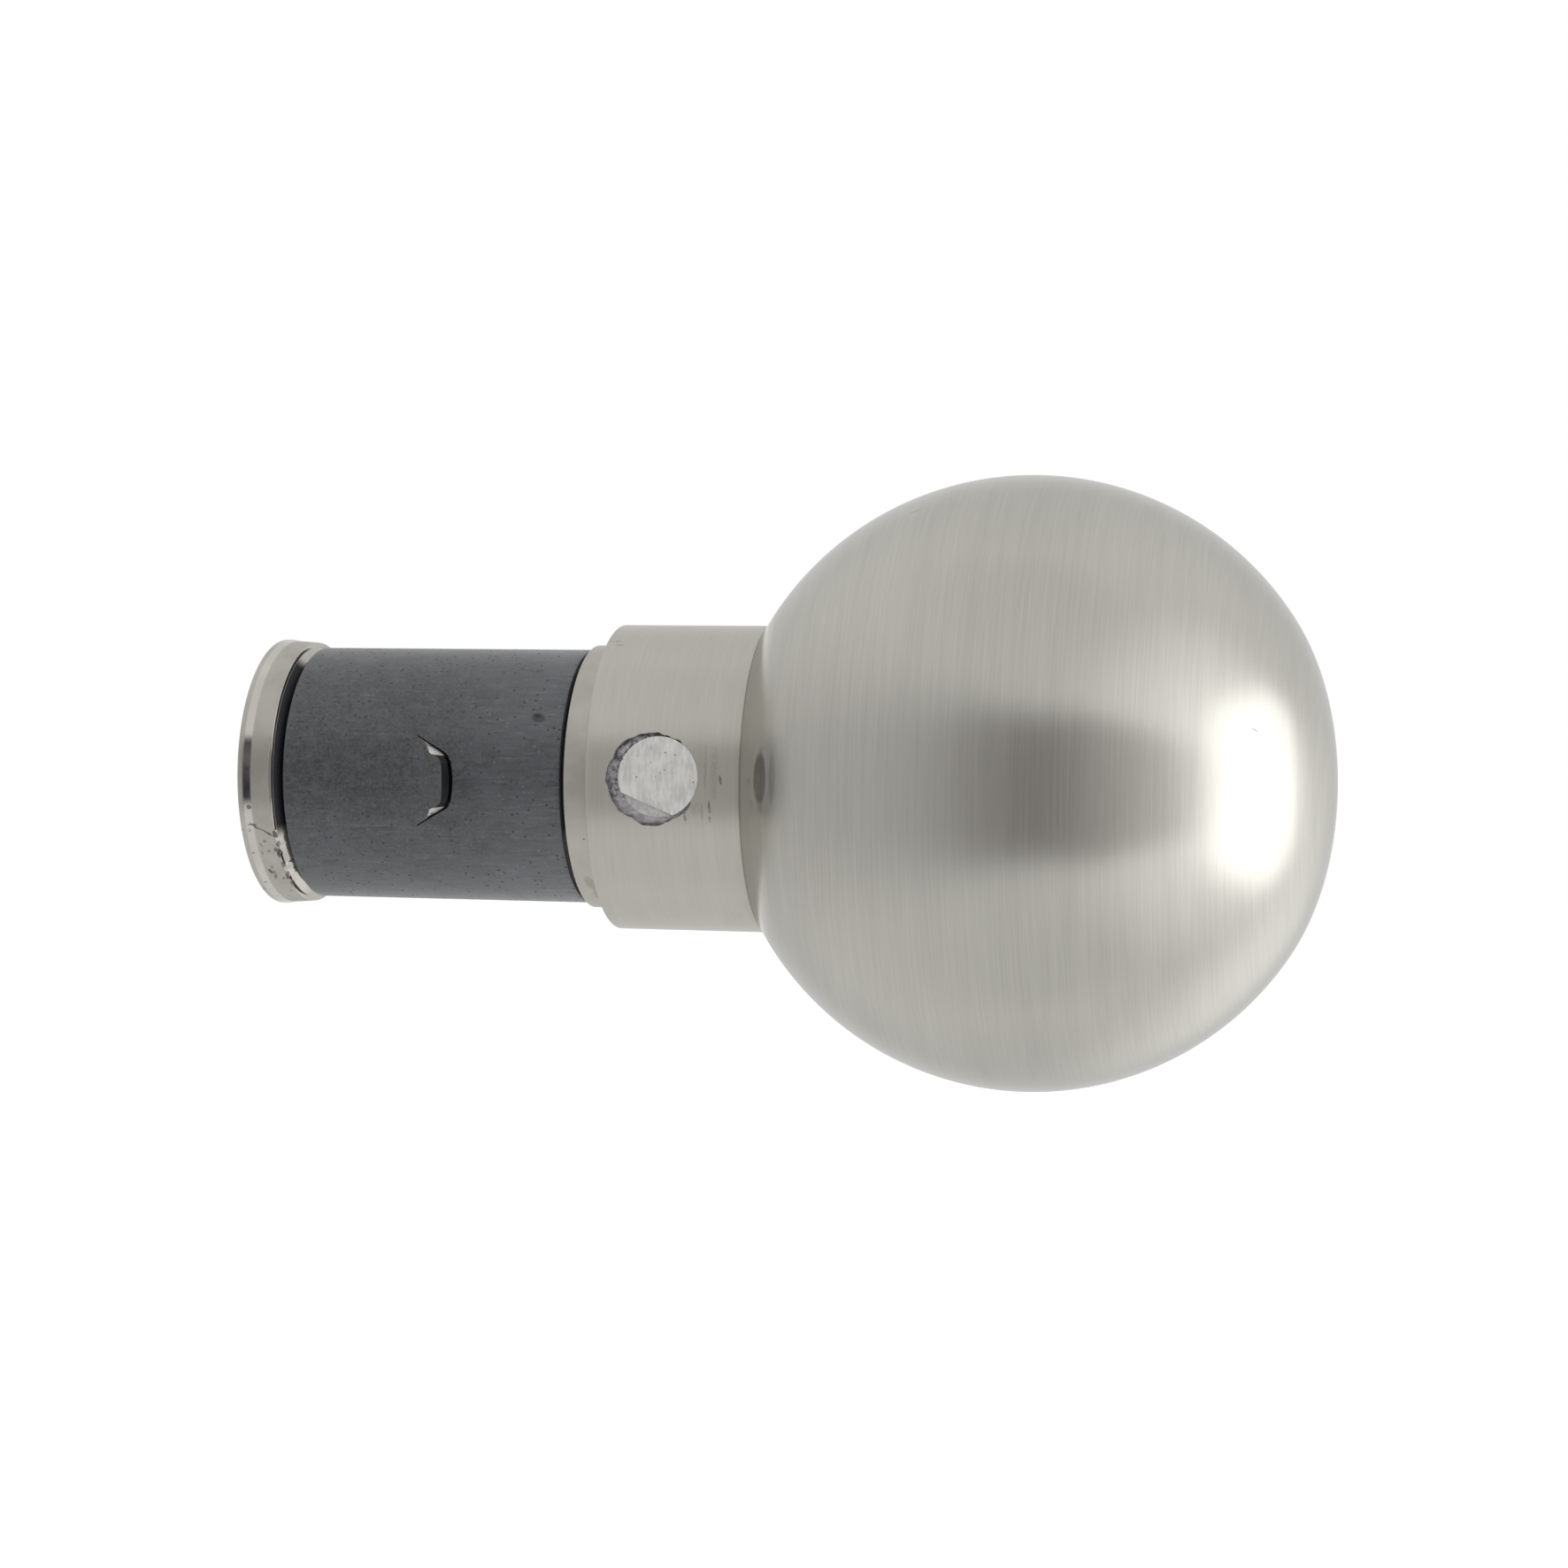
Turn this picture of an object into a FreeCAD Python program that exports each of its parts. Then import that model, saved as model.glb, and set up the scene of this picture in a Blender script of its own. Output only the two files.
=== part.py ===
import FreeCAD, Part
import math
import os

# A ball finial for the end of a round curtain pole.
# X runs along the pole, with the ball on the +X side and +Z up. The origin is on the pole's axis, in the
# plane where the collar meets the pole's end. Everything on the -X side of it goes into the pole.
# All sizes are in millimetres, and turns are in degrees.

# The pole that the finial closes
POLE_DIAMETER = 20.0
POLE_WALL = 1.0

# The ball, and the flatter cap that dressing left on its outer end
BALL_DIAMETER = 39.4
END_CAP_LOSS = 0.34
END_CAP_EXTRA_RADIUS = 3.3
END_CAP_BLEND_RADIUS = 12.0

# The collar, of the pole's own diameter
COLLAR_LENGTH = 9.95
EDGE_BREAK = 0.12

# The spigot, from its end flange to the stud that holds the ball
SPIGOT_REACH = 23.55
FLANGE_LENGTH = 2.25
FLANGE_CLEARANCE = 0.11
FLANGE_DRAFT_LOSS = 0.1
FLANGE_BACK_SLOPE = 0.6
LIP_LENGTH = 0.4
LIP_RAMP = 0.45
LIP_HEIGHT = 0.1
WAIST_DEPTH = 0.85
REGISTER_CLEARANCE = 0.35
REGISTER_LENGTH = 1.75
RECESS_DEPTH = 0.6
TENON_DIAMETER = 12.0
TENON_END_GAP = 0.3
STUD_DIAMETER = 8.0
STUD_LENGTH = 11.5
STUD_CHAMFER = 0.8
STUD_END_ROOM = 1.0
DRILL_POINT_ANGLE = 118.0

# The sleeve on the waist, with its tongues
SLEEVE_THICKNESS = 0.5
SLEEVE_END_GAP = 0.35
SLEEVE_TURN = -3.4
SLIT_WIDTH = 1.2
TONGUE_COUNT = 3
TONGUE_LENGTH = 2.25
TONGUE_ROOT_WIDTH = 5.9
TONGUE_TIP_WIDTH = 3.2
TONGUE_CORNER_RADIUS = 0.6
TONGUE_RISE = 0.5
TONGUE_TIP_INSET = 7.4
LANCE_GAP = 0.1

# The cross pin, with its torn hole mouth and its broken edge
PIN_DIAMETER = 5.1
PIN_OFFSET = 0.25
PIN_END_WALL = 2.0
PIN_END_GAP = 0.3
TEAR_WIDTH = 0.38
TEAR_SHIFT_ALONG = -0.29
TEAR_SHIFT_UP = -0.15
TEAR_DEPTH = 0.4
CHIP_HEIGHT = 0.73
CHIP_DEPTH = 0.35
CHIP_TURN = 23.0

# Radial room between turned pieces that are pushed together, and between the sleeve and the waist
FIT_CLEARANCE = 0.05

ORIGIN = FreeCAD.Vector(0, 0, 0)
ALONG = FreeCAD.Vector(1, 0, 0)
INTO_COLLAR = FreeCAD.Vector(0, 1, 0)

# Sizes that follow from the ones above
bore_radius = POLE_DIAMETER / 2 - POLE_WALL
ball_radius = BALL_DIAMETER / 2
collar_radius = POLE_DIAMETER / 2
register_radius = bore_radius - REGISTER_CLEARANCE
shoulder_radius = bore_radius
waist_radius = register_radius - WAIST_DEPTH
lip_radius = bore_radius - FLANGE_CLEARANCE
land_radius = lip_radius - LIP_HEIGHT
flange_back_radius = land_radius - FLANGE_DRAFT_LOSS
back_slope = min(FLANGE_BACK_SLOPE, flange_back_radius - waist_radius - EDGE_BREAK)
tenon_radius = TENON_DIAMETER / 2
stud_radius = STUD_DIAMETER / 2
pin_radius = PIN_DIAMETER / 2
pin_hole_radius = pin_radius + FIT_CLEARANCE
sleeve_inner_radius = waist_radius + FIT_CLEARANCE
sleeve_radius = sleeve_inner_radius + SLEEVE_THICKNESS

# Places along the axis
spigot_end = -SPIGOT_REACH
flange_back = spigot_end + FLANGE_LENGTH
sleeve_start = flange_back + back_slope + FIT_CLEARANCE
sleeve_end = -REGISTER_LENGTH - SLEEVE_END_GAP
ball_seat = COLLAR_LENGTH
ball_centre = ball_seat + math.sqrt(ball_radius ** 2 - collar_radius ** 2)
tenon_end = ball_seat - TENON_END_GAP
stud_end = ball_seat + STUD_LENGTH
pin_place = COLLAR_LENGTH / 2 - PIN_OFFSET
pin_depth = tenon_radius - PIN_END_WALL


def at(along, radius):
    """A point of a turned outline: its place along the axis and its distance from the axis."""
    return FreeCAD.Vector(along, 0, radius)


def arc(along, height, radius, first_turn, last_turn):
    """An arc of a turned outline about (along, height), with turns counted from the ball's end."""
    def point(turn):
        angle = math.radians(turn)
        return at(along + radius * math.cos(angle), height + radius * math.sin(angle))
    middle_turn = (first_turn + last_turn) / 2
    return Part.Arc(point(first_turn), point(middle_turn), point(last_turn)).toShape()


def run(*points):
    """The straight edges that join the points of an outline in turn."""
    return [Part.LineSegment(a, b).toShape() for a, b in zip(points, points[1:])]


def turned(edges):
    """The solid that a closed outline sweeps out in one turn about the axis."""
    wire = Part.Wire(Part.__sortEdges__(edges))
    return Part.Face(wire).revolve(ORIGIN, ALONG, 360)


def bar(radius, start, end):
    """A round bar on the axis."""
    return Part.makeCylinder(radius, end - start, at(start, 0), ALONG)


def cross_bar(radius, along, up, depth):
    """A round bar that enters the collar from the front and ends a given depth past the axis."""
    outside = 2 * collar_radius
    start = FreeCAD.Vector(along, -outside, up)
    return Part.makeCylinder(radius, outside + depth, start, INTO_COLLAR)


def make_ball():
    """A sphere with a flat seat for the collar, a blind bore for the stud and a flattened outer end."""
    cap_radius = ball_radius + END_CAP_EXTRA_RADIUS
    cap_centre = ball_radius - END_CAP_LOSS - cap_radius
    to_ball = ball_radius - END_CAP_BLEND_RADIUS
    to_cap = cap_radius - END_CAP_BLEND_RADIUS
    blend_along = (to_ball ** 2 - to_cap ** 2 + cap_centre ** 2) / (2 * cap_centre)
    blend_height = math.sqrt(to_ball ** 2 - blend_along ** 2)
    ball_turn = math.degrees(math.atan2(blend_height, blend_along))
    cap_turn = math.degrees(math.atan2(blend_height, blend_along - cap_centre))
    seat_turn = 180 - math.degrees(math.asin(collar_radius / ball_radius))

    sphere = arc(ball_centre, 0, ball_radius, seat_turn, ball_turn)
    blend = arc(ball_centre + blend_along, blend_height, END_CAP_BLEND_RADIUS, ball_turn, cap_turn)
    cap = arc(ball_centre + cap_centre, 0, cap_radius, cap_turn, 0)
    outer_end = ball_centre + ball_radius - END_CAP_LOSS
    flat = run(at(outer_end, 0), at(ball_seat, 0), at(ball_seat, collar_radius))
    body = turned([sphere, blend, cap] + flat)

    stud_bore_radius = stud_radius + FIT_CLEARANCE
    stud_bore_end = stud_end + STUD_END_ROOM
    point_height = stud_bore_radius / math.tan(math.radians(DRILL_POINT_ANGLE / 2))
    bore = bar(stud_bore_radius, ball_seat, stud_bore_end)
    point = Part.makeCone(stud_bore_radius, 0, point_height, at(stud_bore_end, 0), ALONG)
    return body.cut(bore.fuse(point))


def make_collar():
    """A ring with broken edges, bored for the tenon and its shoulder, with a cross hole torn at its mouth."""
    ring = turned(run(
        at(0, 0),
        at(0, collar_radius - EDGE_BREAK),
        at(EDGE_BREAK, collar_radius),
        at(COLLAR_LENGTH - EDGE_BREAK, collar_radius),
        at(COLLAR_LENGTH, collar_radius - EDGE_BREAK),
        at(COLLAR_LENGTH, 0),
        at(0, 0)))
    ring = ring.cut(bar(tenon_radius + FIT_CLEARANCE, 0, COLLAR_LENGTH))
    ring = ring.cut(bar(shoulder_radius + FIT_CLEARANCE, 0, RECESS_DEPTH))
    hole = cross_bar(pin_hole_radius, pin_place, 0, 0)
    tear_place = pin_place + TEAR_SHIFT_ALONG
    tear = cross_bar(pin_hole_radius + TEAR_WIDTH, tear_place, TEAR_SHIFT_UP, 0)
    tear = tear.cut(bar(collar_radius - TEAR_DEPTH, 0, COLLAR_LENGTH))
    return ring.cut(hole).cut(tear)


def make_spigot():
    """Flange, waist, register, shoulder, tenon and stud in one turned outline, cross-drilled for the pin."""
    outline = run(
        at(-REGISTER_LENGTH, waist_radius),
        at(-REGISTER_LENGTH, register_radius),
        at(0, register_radius),
        at(0, shoulder_radius),
        at(RECESS_DEPTH, shoulder_radius),
        at(RECESS_DEPTH, tenon_radius),
        at(tenon_end, tenon_radius),
        at(tenon_end, stud_radius),
        at(stud_end - STUD_CHAMFER, stud_radius),
        at(stud_end, stud_radius - STUD_CHAMFER),
        at(stud_end, 0),
        at(spigot_end, 0),
        at(spigot_end, lip_radius - EDGE_BREAK),
        at(spigot_end + EDGE_BREAK, lip_radius),
        at(spigot_end + LIP_LENGTH, lip_radius),
        at(spigot_end + LIP_LENGTH + LIP_RAMP, land_radius),
        at(flange_back, flange_back_radius),
        at(flange_back, waist_radius + back_slope),
        at(flange_back + back_slope, waist_radius),
        at(-REGISTER_LENGTH, waist_radius))
    hole = cross_bar(pin_hole_radius, pin_place, 0, pin_depth + PIN_END_GAP)
    return turned(outline).cut(hole)


def tongue_outline(spread):
    """The tongue's outline seen from the front, grown by a spread at its sides and tip."""
    tip = sleeve_end - TONGUE_TIP_INSET + spread
    root = sleeve_end - TONGUE_TIP_INSET - TONGUE_LENGTH
    lean = (TONGUE_ROOT_WIDTH - TONGUE_TIP_WIDTH) / 2 / TONGUE_LENGTH
    half_root = TONGUE_ROOT_WIDTH / 2 + spread
    half_tip = half_root - lean * (tip - root)
    front = -2 * sleeve_radius
    corners = [
        FreeCAD.Vector(root, front, -half_root),
        FreeCAD.Vector(tip, front, -half_tip),
        FreeCAD.Vector(tip, front, half_tip),
        FreeCAD.Vector(root, front, half_root)]
    block = Part.Face(Part.makePolygon(corners + corners[:1])).extrude(INTO_COLLAR * -front)
    tip_face = max(block.Faces, key=lambda face: face.CenterOfMass.x)
    corners_at_tip = [edge for edge in tip_face.Edges if edge.BoundBox.YLength > edge.BoundBox.ZLength]
    return block.makeFillet(TONGUE_CORNER_RADIUS, corners_at_tip)


def make_sleeve():
    """A slit tube round the waist, with tongues lanced out of its wall and bent up towards the collar."""
    tube = turned(run(
        at(sleeve_start, sleeve_inner_radius),
        at(sleeve_start, sleeve_radius - EDGE_BREAK),
        at(sleeve_start + EDGE_BREAK, sleeve_radius),
        at(sleeve_end - EDGE_BREAK, sleeve_radius),
        at(sleeve_end, sleeve_radius - EDGE_BREAK),
        at(sleeve_end, sleeve_inner_radius),
        at(sleeve_start, sleeve_inner_radius)))
    tip = sleeve_end - TONGUE_TIP_INSET
    root = tip - TONGUE_LENGTH
    bent = turned(run(
        at(root - SLEEVE_THICKNESS, sleeve_inner_radius),
        at(root, sleeve_inner_radius),
        at(tip, sleeve_inner_radius + TONGUE_RISE),
        at(tip, sleeve_radius + TONGUE_RISE),
        at(root, sleeve_radius),
        at(root - SLEEVE_THICKNESS, sleeve_radius),
        at(root - SLEEVE_THICKNESS, sleeve_inner_radius)))
    window = tongue_outline(LANCE_GAP)
    tongue = bent.common(tongue_outline(0))
    for place in range(TONGUE_COUNT):
        turn = place * 360 / TONGUE_COUNT
        tube = tube.cut(window.rotated(ORIGIN, ALONG, turn))
        tube = tube.fuse(tongue.rotated(ORIGIN, ALONG, turn))
    slit_start = FreeCAD.Vector(sleeve_start, 0, -SLIT_WIDTH / 2)
    slit = Part.makeBox(sleeve_end - sleeve_start, 2 * sleeve_radius, SLIT_WIDTH, slit_start)
    sleeve = tube.cut(slit).removeSplitter()
    return sleeve.rotated(ORIGIN, ALONG, -SLEEVE_TURN)


def make_pin():
    """A round pin dressed flush with the collar, with a segment of its end broken away."""
    pin = cross_bar(pin_radius, pin_place, 0, pin_depth)
    pin = pin.common(bar(collar_radius, 0, COLLAR_LENGTH))
    corner = FreeCAD.Vector(pin_place - pin_radius, -2 * collar_radius, -2 * pin_radius)
    reach = pin_radius + CHIP_HEIGHT
    chip = Part.makeBox(PIN_DIAMETER, 2 * collar_radius, reach, corner)
    chip = chip.rotated(FreeCAD.Vector(pin_place, 0, 0), INTO_COLLAR, CHIP_TURN)
    return pin.cut(chip.cut(bar(collar_radius - CHIP_DEPTH, 0, COLLAR_LENGTH)))


pieces = {
    "ball": make_ball(),
    "collar": make_collar(),
    "spigot": make_spigot(),
    "spring_sleeve": make_sleeve(),
    "cross_pin": make_pin(),
}
os.makedirs("parts", exist_ok=True)
for name, shape in pieces.items():
    solid = shape.Solids[0]
    solid.exportStep(f"parts/{name}.step")
    print(name, "solids", len(shape.Solids), "valid", solid.isValid(), "volume", round(solid.Volume, 2))
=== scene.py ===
import math

import bmesh
import bpy
from mathutils import Matrix, Vector, noise


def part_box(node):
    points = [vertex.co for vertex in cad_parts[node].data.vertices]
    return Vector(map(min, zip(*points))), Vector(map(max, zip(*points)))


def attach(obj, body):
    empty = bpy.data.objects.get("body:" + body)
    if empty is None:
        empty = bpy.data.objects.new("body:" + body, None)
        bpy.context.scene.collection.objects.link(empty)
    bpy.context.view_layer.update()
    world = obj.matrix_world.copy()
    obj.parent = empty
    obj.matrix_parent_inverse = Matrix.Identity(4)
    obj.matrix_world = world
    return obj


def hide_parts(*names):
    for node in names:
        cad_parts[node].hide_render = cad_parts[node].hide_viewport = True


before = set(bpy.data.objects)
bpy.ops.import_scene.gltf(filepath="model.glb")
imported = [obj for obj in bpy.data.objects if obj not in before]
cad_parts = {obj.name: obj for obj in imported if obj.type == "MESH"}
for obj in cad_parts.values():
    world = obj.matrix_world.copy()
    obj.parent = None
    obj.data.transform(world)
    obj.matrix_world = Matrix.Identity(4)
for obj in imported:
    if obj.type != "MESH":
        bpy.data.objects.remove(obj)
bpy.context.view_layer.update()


# The ball: turned from solid bar, bored from its flat seat for the stud that holds it, and brushed while
# it spins, so that the marks run round the axis. Dressing has left its outer end slightly flat.
MM = 0.001
TINY = 0.00001 * MM
TOUCHING = 0.001 * MM
BALL_RADIUS = 19.7 * MM
BALL_MERIDIANS = 256
BALL_RINGS = 160
END_REACH = math.radians(32)
STUD_BORE_RADIUS = 4.05 * MM
STUD_BORE_DEPTH = 12.5 * MM
DRILL_POINT = 2.43 * MM
COLLAR_RADIUS = 10.0 * MM
SHARP_ANGLE = math.radians(28)
BALL_PALE = (0.507, 0.497, 0.455, 1)
BALL_DEEP = (0.465, 0.455, 0.416, 1)
BALL_ROUGHNESS = 0.26
BALL_METAL = 1.0
BALL_LINES = 8500
BALL_STRETCH = 0.45
# A paler colour painted on the seam's front crescent as a reflection of the collar.
SEAM_PAINTED_REFLECTION = (0.69, 0.68, 0.64, 1)
SEAM_ROUGHNESS = 0.13
SEAM_BULGE = 2.65 * MM
SEAM_EDGE = (9.95 * MM, 8.75 * MM)
# The dark of the nicks, and of the reflection painted in the seam.
NICK_AND_PAINTED_REFLECTION = (0.17, 0.166, 0.155, 1)
# Every noise in this file is given as its scale, detail and roughness.
STREAK_NOISE = (4200.0, 3.0, 0.6)
STREAK_STRETCH = (1, 1, 0.12)
STREAK_SPAN = (0.3, 0.55)
FAINTEST_STREAK = 0.8
# Small marks are rows of: place along in mm, degrees up from the front, half sizes along and round in mm,
# lean, and depth. These are nicks, and a dark reflection painted in the seam.
BALL_NICKS_AND_REFLECTION = ((41.6, 14.8, 0.16, 0.1, 1.2, 0.7), (20.4, 64.0, 0.35, 0.1, -1.0, 0.45),
              (11.75, 0.0, 0.52, 2.7, 0, 0.97), (12.75, 0.0, 0.25, 2.4, 0, 0.3))

ball_low, ball_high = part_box("ball")
ball_seat = ball_low.x
ball_centre = ball_seat + math.sqrt(BALL_RADIUS ** 2 - COLLAR_RADIUS ** 2)
end_loss = ball_centre + BALL_RADIUS - ball_high.x


def all_of(work):
    """Every vertex, edge and face of a bmesh."""
    return work.verts[:] + work.edges[:] + work.faces[:]


def drawn_ring(work, ring, along, radius):
    """Extrudes a ring of edges to a new place along the axis and a new distance from it."""
    grown = bmesh.ops.extrude_edge_only(work, edges=ring)["geom"]
    verts = {item for item in grown if isinstance(item, bmesh.types.BMVert)}
    for vert in verts:
        spoke = Vector((0, vert.co.y, vert.co.z)).normalized() * radius
        vert.co = Vector((along, spoke.y, spoke.z))
    return [edge for edge in work.edges if edge.verts[0] in verts and edge.verts[1] in verts]


def linked_object(work, name):
    """Makes a bmesh into an object in the scene."""
    mesh = bpy.data.meshes.new(name)
    work.to_mesh(mesh)
    work.free()
    made = bpy.data.objects.new(name, mesh)
    bpy.context.scene.collection.objects.link(made)
    return made


def finished_piece(work, name, node):
    """Makes a bmesh into a smooth-shaded piece that stands for a CAD node."""
    bmesh.ops.remove_doubles(work, verts=work.verts, dist=TINY)
    bmesh.ops.recalc_face_normals(work, faces=work.faces)
    piece = linked_object(work, name)
    piece.data.shade_smooth()
    piece.data.set_sharp_from_angle(angle=SHARP_ANGLE)
    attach(piece, "root")
    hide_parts(node)
    return piece


ball_work = bmesh.new()
bmesh.ops.create_uvsphere(
    ball_work, u_segments=BALL_MERIDIANS, v_segments=BALL_RINGS, radius=BALL_RADIUS)
bmesh.ops.rotate(
    ball_work, verts=ball_work.verts, cent=(0, 0, 0), matrix=Matrix.Rotation(math.radians(90), 3, "Y"))
for vert in ball_work.verts:
    from_end = vert.co.angle(Vector((1, 0, 0)))
    if from_end < END_REACH:
        flatness = (1 - (from_end / END_REACH) ** 2) ** 2
        vert.co *= 1 - flatness * end_loss / BALL_RADIUS
bmesh.ops.translate(ball_work, verts=ball_work.verts, vec=(ball_centre, 0, 0))
sliced = bmesh.ops.bisect_plane(
    ball_work, geom=all_of(ball_work), plane_co=(ball_seat, 0, 0), plane_no=(-1, 0, 0), clear_outer=True)
seat_ring = [item for item in sliced["geom_cut"] if isinstance(item, bmesh.types.BMEdge)]
bore_mouth = drawn_ring(ball_work, seat_ring, ball_seat, STUD_BORE_RADIUS)
bore_end = drawn_ring(ball_work, bore_mouth, ball_seat + STUD_BORE_DEPTH, STUD_BORE_RADIUS)
drawn_ring(ball_work, bore_end, ball_seat + STUD_BORE_DEPTH + DRILL_POINT, 0)
ball = finished_piece(ball_work, "finial_ball", "ball")


def feed(tree, node, sockets):
    """Sets a node's sockets to plain values, or links them to what other nodes put out."""
    for label, value in sockets.items():
        if isinstance(value, bpy.types.NodeSocket):
            tree.links.new(value, node.inputs[label])
        else:
            node.inputs[label].default_value = value


def add_node(tree, kind, sockets=None, **settings):
    """Adds a shader node, with its settings and its sockets."""
    made = tree.nodes.new("ShaderNode" + kind)
    for label, value in settings.items():
        setattr(made, label, value)
    feed(tree, made, sockets or {})
    return made


def reckon(tree, operation, first, second=0.0, third=0.0):
    """The result of one Math node."""
    sockets = {0: first, 1: second, 2: third}
    return add_node(tree, "Math", sockets, operation=operation).outputs[0]


def product(tree, first, *others):
    """Masks or values multiplied together."""
    for other in others:
        first = reckon(tree, "MULTIPLY", first, other)
    return first


def largest(tree, first, *others):
    """The largest of some masks or values at each point."""
    for other in others:
        first = reckon(tree, "MAXIMUM", first, other)
    return first


def added_share(tree, value, factor, base):
    """A base with a value times a factor added."""
    return reckon(tree, "MULTIPLY_ADD", value, factor, base)


def vector_result(tree, operation, first, second=(0, 0, 0), scale=1.0):
    """The result of one Vector Math node, a value or a vector as the operation gives."""
    sockets = {0: first, 1: second, 3: scale}
    made = add_node(tree, "VectorMath", sockets, operation=operation)
    gives_value = operation in ("DISTANCE", "DOT_PRODUCT", "LENGTH")
    return made.outputs["Value" if gives_value else "Vector"]


def between(tree, value, start, end, low=0.0, high=1.0):
    """A smooth step from low, where the value is at start, to high, where it is at end."""
    sockets = {"Value": value, "From Min": start, "From Max": end, "To Min": low, "To Max": high}
    return add_node(
        tree, "MapRange", sockets, interpolation_type="SMOOTHSTEP").outputs["Result"]


def parts_of(tree, vector):
    """A vector's three parts."""
    return add_node(tree, "SeparateXYZ", {0: vector}).outputs


def grain(tree, vector, scale, detail, roughness):
    """The value of one noise texture."""
    sockets = {"Vector": vector, "Scale": scale, "Detail": detail, "Roughness": roughness}
    return add_node(tree, "TexNoise", sockets).outputs["Fac"]


def mixed(tree, share, first, second):
    """One colour or the other, by share."""
    return add_node(tree, "Mix", {0: share, 6: first, 7: second}, data_type="RGBA").outputs[2]


def raised(tree, distance, height):
    """The normals of a surface with a relief of so much height."""
    sockets = {"Strength": 1.0, "Distance": distance, "Height": height}
    return add_node(tree, "Bump", sockets).outputs[0]


VECTOR_SOCKETS = ("Point", "Round")


def new_group(name, inputs, outputs):
    """An empty shader node group with its named sockets."""
    group = bpy.data.node_groups.new(name, "ShaderNodeTree")
    for in_out, labels in (("INPUT", inputs), ("OUTPUT", outputs)):
        for label in labels:
            kind = "NodeSocketVector" if label in VECTOR_SOCKETS else "NodeSocketFloat"
            group.interface.new_socket(label, in_out=in_out, socket_type=kind)
    return group, group.nodes.new("NodeGroupInput"), group.nodes.new("NodeGroupOutput")


def place_group(tree, group, sockets=None):
    """Puts a node group into a material and gives what it puts out."""
    return add_node(tree, "Group", sockets, node_tree=group).outputs


# Where a point lies on a turned piece: along the axis, off it, round it, and the turn from the front.
lathe_place, _, group_out = new_group(
    "lathe_place", (), ("Point", "Along", "Off Axis", "Round", "Turn"))
point = add_node(lathe_place, "TexCoord").outputs["Object"]
split = parts_of(lathe_place, point)
spoke = add_node(lathe_place, "CombineXYZ", {1: split[1], 2: split[2]}).outputs[0]
front = product(lathe_place, split[1], -1.0)
feed(lathe_place, group_out, {
    "Point": point, "Along": split[0], "Off Axis": vector_result(lathe_place, "LENGTH", spoke),
    "Round": vector_result(lathe_place, "NORMALIZE", spoke),
    "Turn": reckon(lathe_place, "ARCTAN2", split[2], front)})

# The marks that a brush leaves round a spinning piece: fine lines, and broader bands of them. Each has its
# width in lines, how fast it changes round the piece, and its detail.
BRUSH_LAYERS = (("Lines", 1.0, 2.6, 2.0), ("Bands", 9.0, 1.2, 4.0))
BRUSH_GRIT = 0.6
brushed_lines, group_in, group_out = new_group(
    "brushed_lines", ("Place", "Round", "Lines"), ("Lines", "Bands"))
counted = product(brushed_lines, group_in.outputs["Place"], group_in.outputs["Lines"])
split = parts_of(brushed_lines, group_in.outputs["Round"])
for label, width, spread, detail in BRUSH_LAYERS:
    stretched = add_node(brushed_lines, "CombineXYZ", {
        0: reckon(brushed_lines, "DIVIDE", counted, width),
        1: product(brushed_lines, split[1], spread),
        2: product(brushed_lines, split[2], spread)}).outputs[0]
    feed(brushed_lines, group_out, {label: grain(brushed_lines, stretched, 1.0, detail, BRUSH_GRIT)})

# A small worn mark on a turned piece, as a mask: its place, its half sizes along and round, and its lean.
MARK_EDGE = (1.3, 0.5)
worn_mark, group_in, group_out = new_group("worn_mark", (
    "Along", "Turn", "Radius", "At Along", "At Turn", "Half Along", "Half Round", "Lean"), ("Mask",))
given = group_in.outputs
up = product(worn_mark, reckon(worn_mark, "SUBTRACT", given["Turn"], given["At Turn"]), given["Radius"])
over = reckon(worn_mark, "SUBTRACT", given["Along"], given["At Along"])
over = added_share(worn_mark, up, given["Lean"], over)
off_middle = 0.0
for distance, half in ((up, given["Half Round"]), (over, given["Half Along"])):
    share = reckon(worn_mark, "DIVIDE", distance, half)
    off_middle = added_share(worn_mark, share, share, off_middle)
feed(worn_mark, group_out, {"Mask": between(worn_mark, off_middle, *MARK_EDGE)})


def marked(tree, place, radius, along, degrees, half_along, half_round, lean):
    """The mask of one small mark on a turned piece."""
    return place_group(tree, worn_mark, {
        "Along": place["Along"], "Turn": place["Turn"], "Radius": radius, "At Along": along * MM,
        "At Turn": math.radians(degrees), "Half Along": half_along * MM, "Half Round": half_round * MM,
        "Lean": lean})["Mask"]


def deepest_marks(tree, place, radius, rows):
    """One mask of many small marks, each as strong as it is deep."""
    return largest(tree, 0.0, *[product(tree, marked(tree, place, radius, *row), depth)
                                for *row, depth in rows])


def emptied_tree(holder):
    """The node tree of a material or world, with nothing in it."""
    holder.use_nodes = True
    holder.node_tree.nodes.clear()
    return holder.node_tree


def new_material(name, piece):
    """A new material on a piece: its node tree, its shader and where its points lie."""
    material = bpy.data.materials.new(name)
    tree = emptied_tree(material)
    shader = add_node(tree, "BsdfPrincipled")
    add_node(tree, "OutputMaterial", {"Surface": shader.outputs[0]})
    piece.data.materials.clear()
    piece.data.materials.append(material)
    return tree, shader, place_group(tree, lathe_place)


LINE_SHARE = 0.55
BRUSHED_SPAN = (0.3, 0.7)
LINE_HEIGHT = 0.0005 * MM
LINE_ROUGHNESS = 0.05
ACROSS_THE_BRUSH = 0.25
EDGE_TINT = (0.78, 0.78, 0.78, 1)


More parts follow.
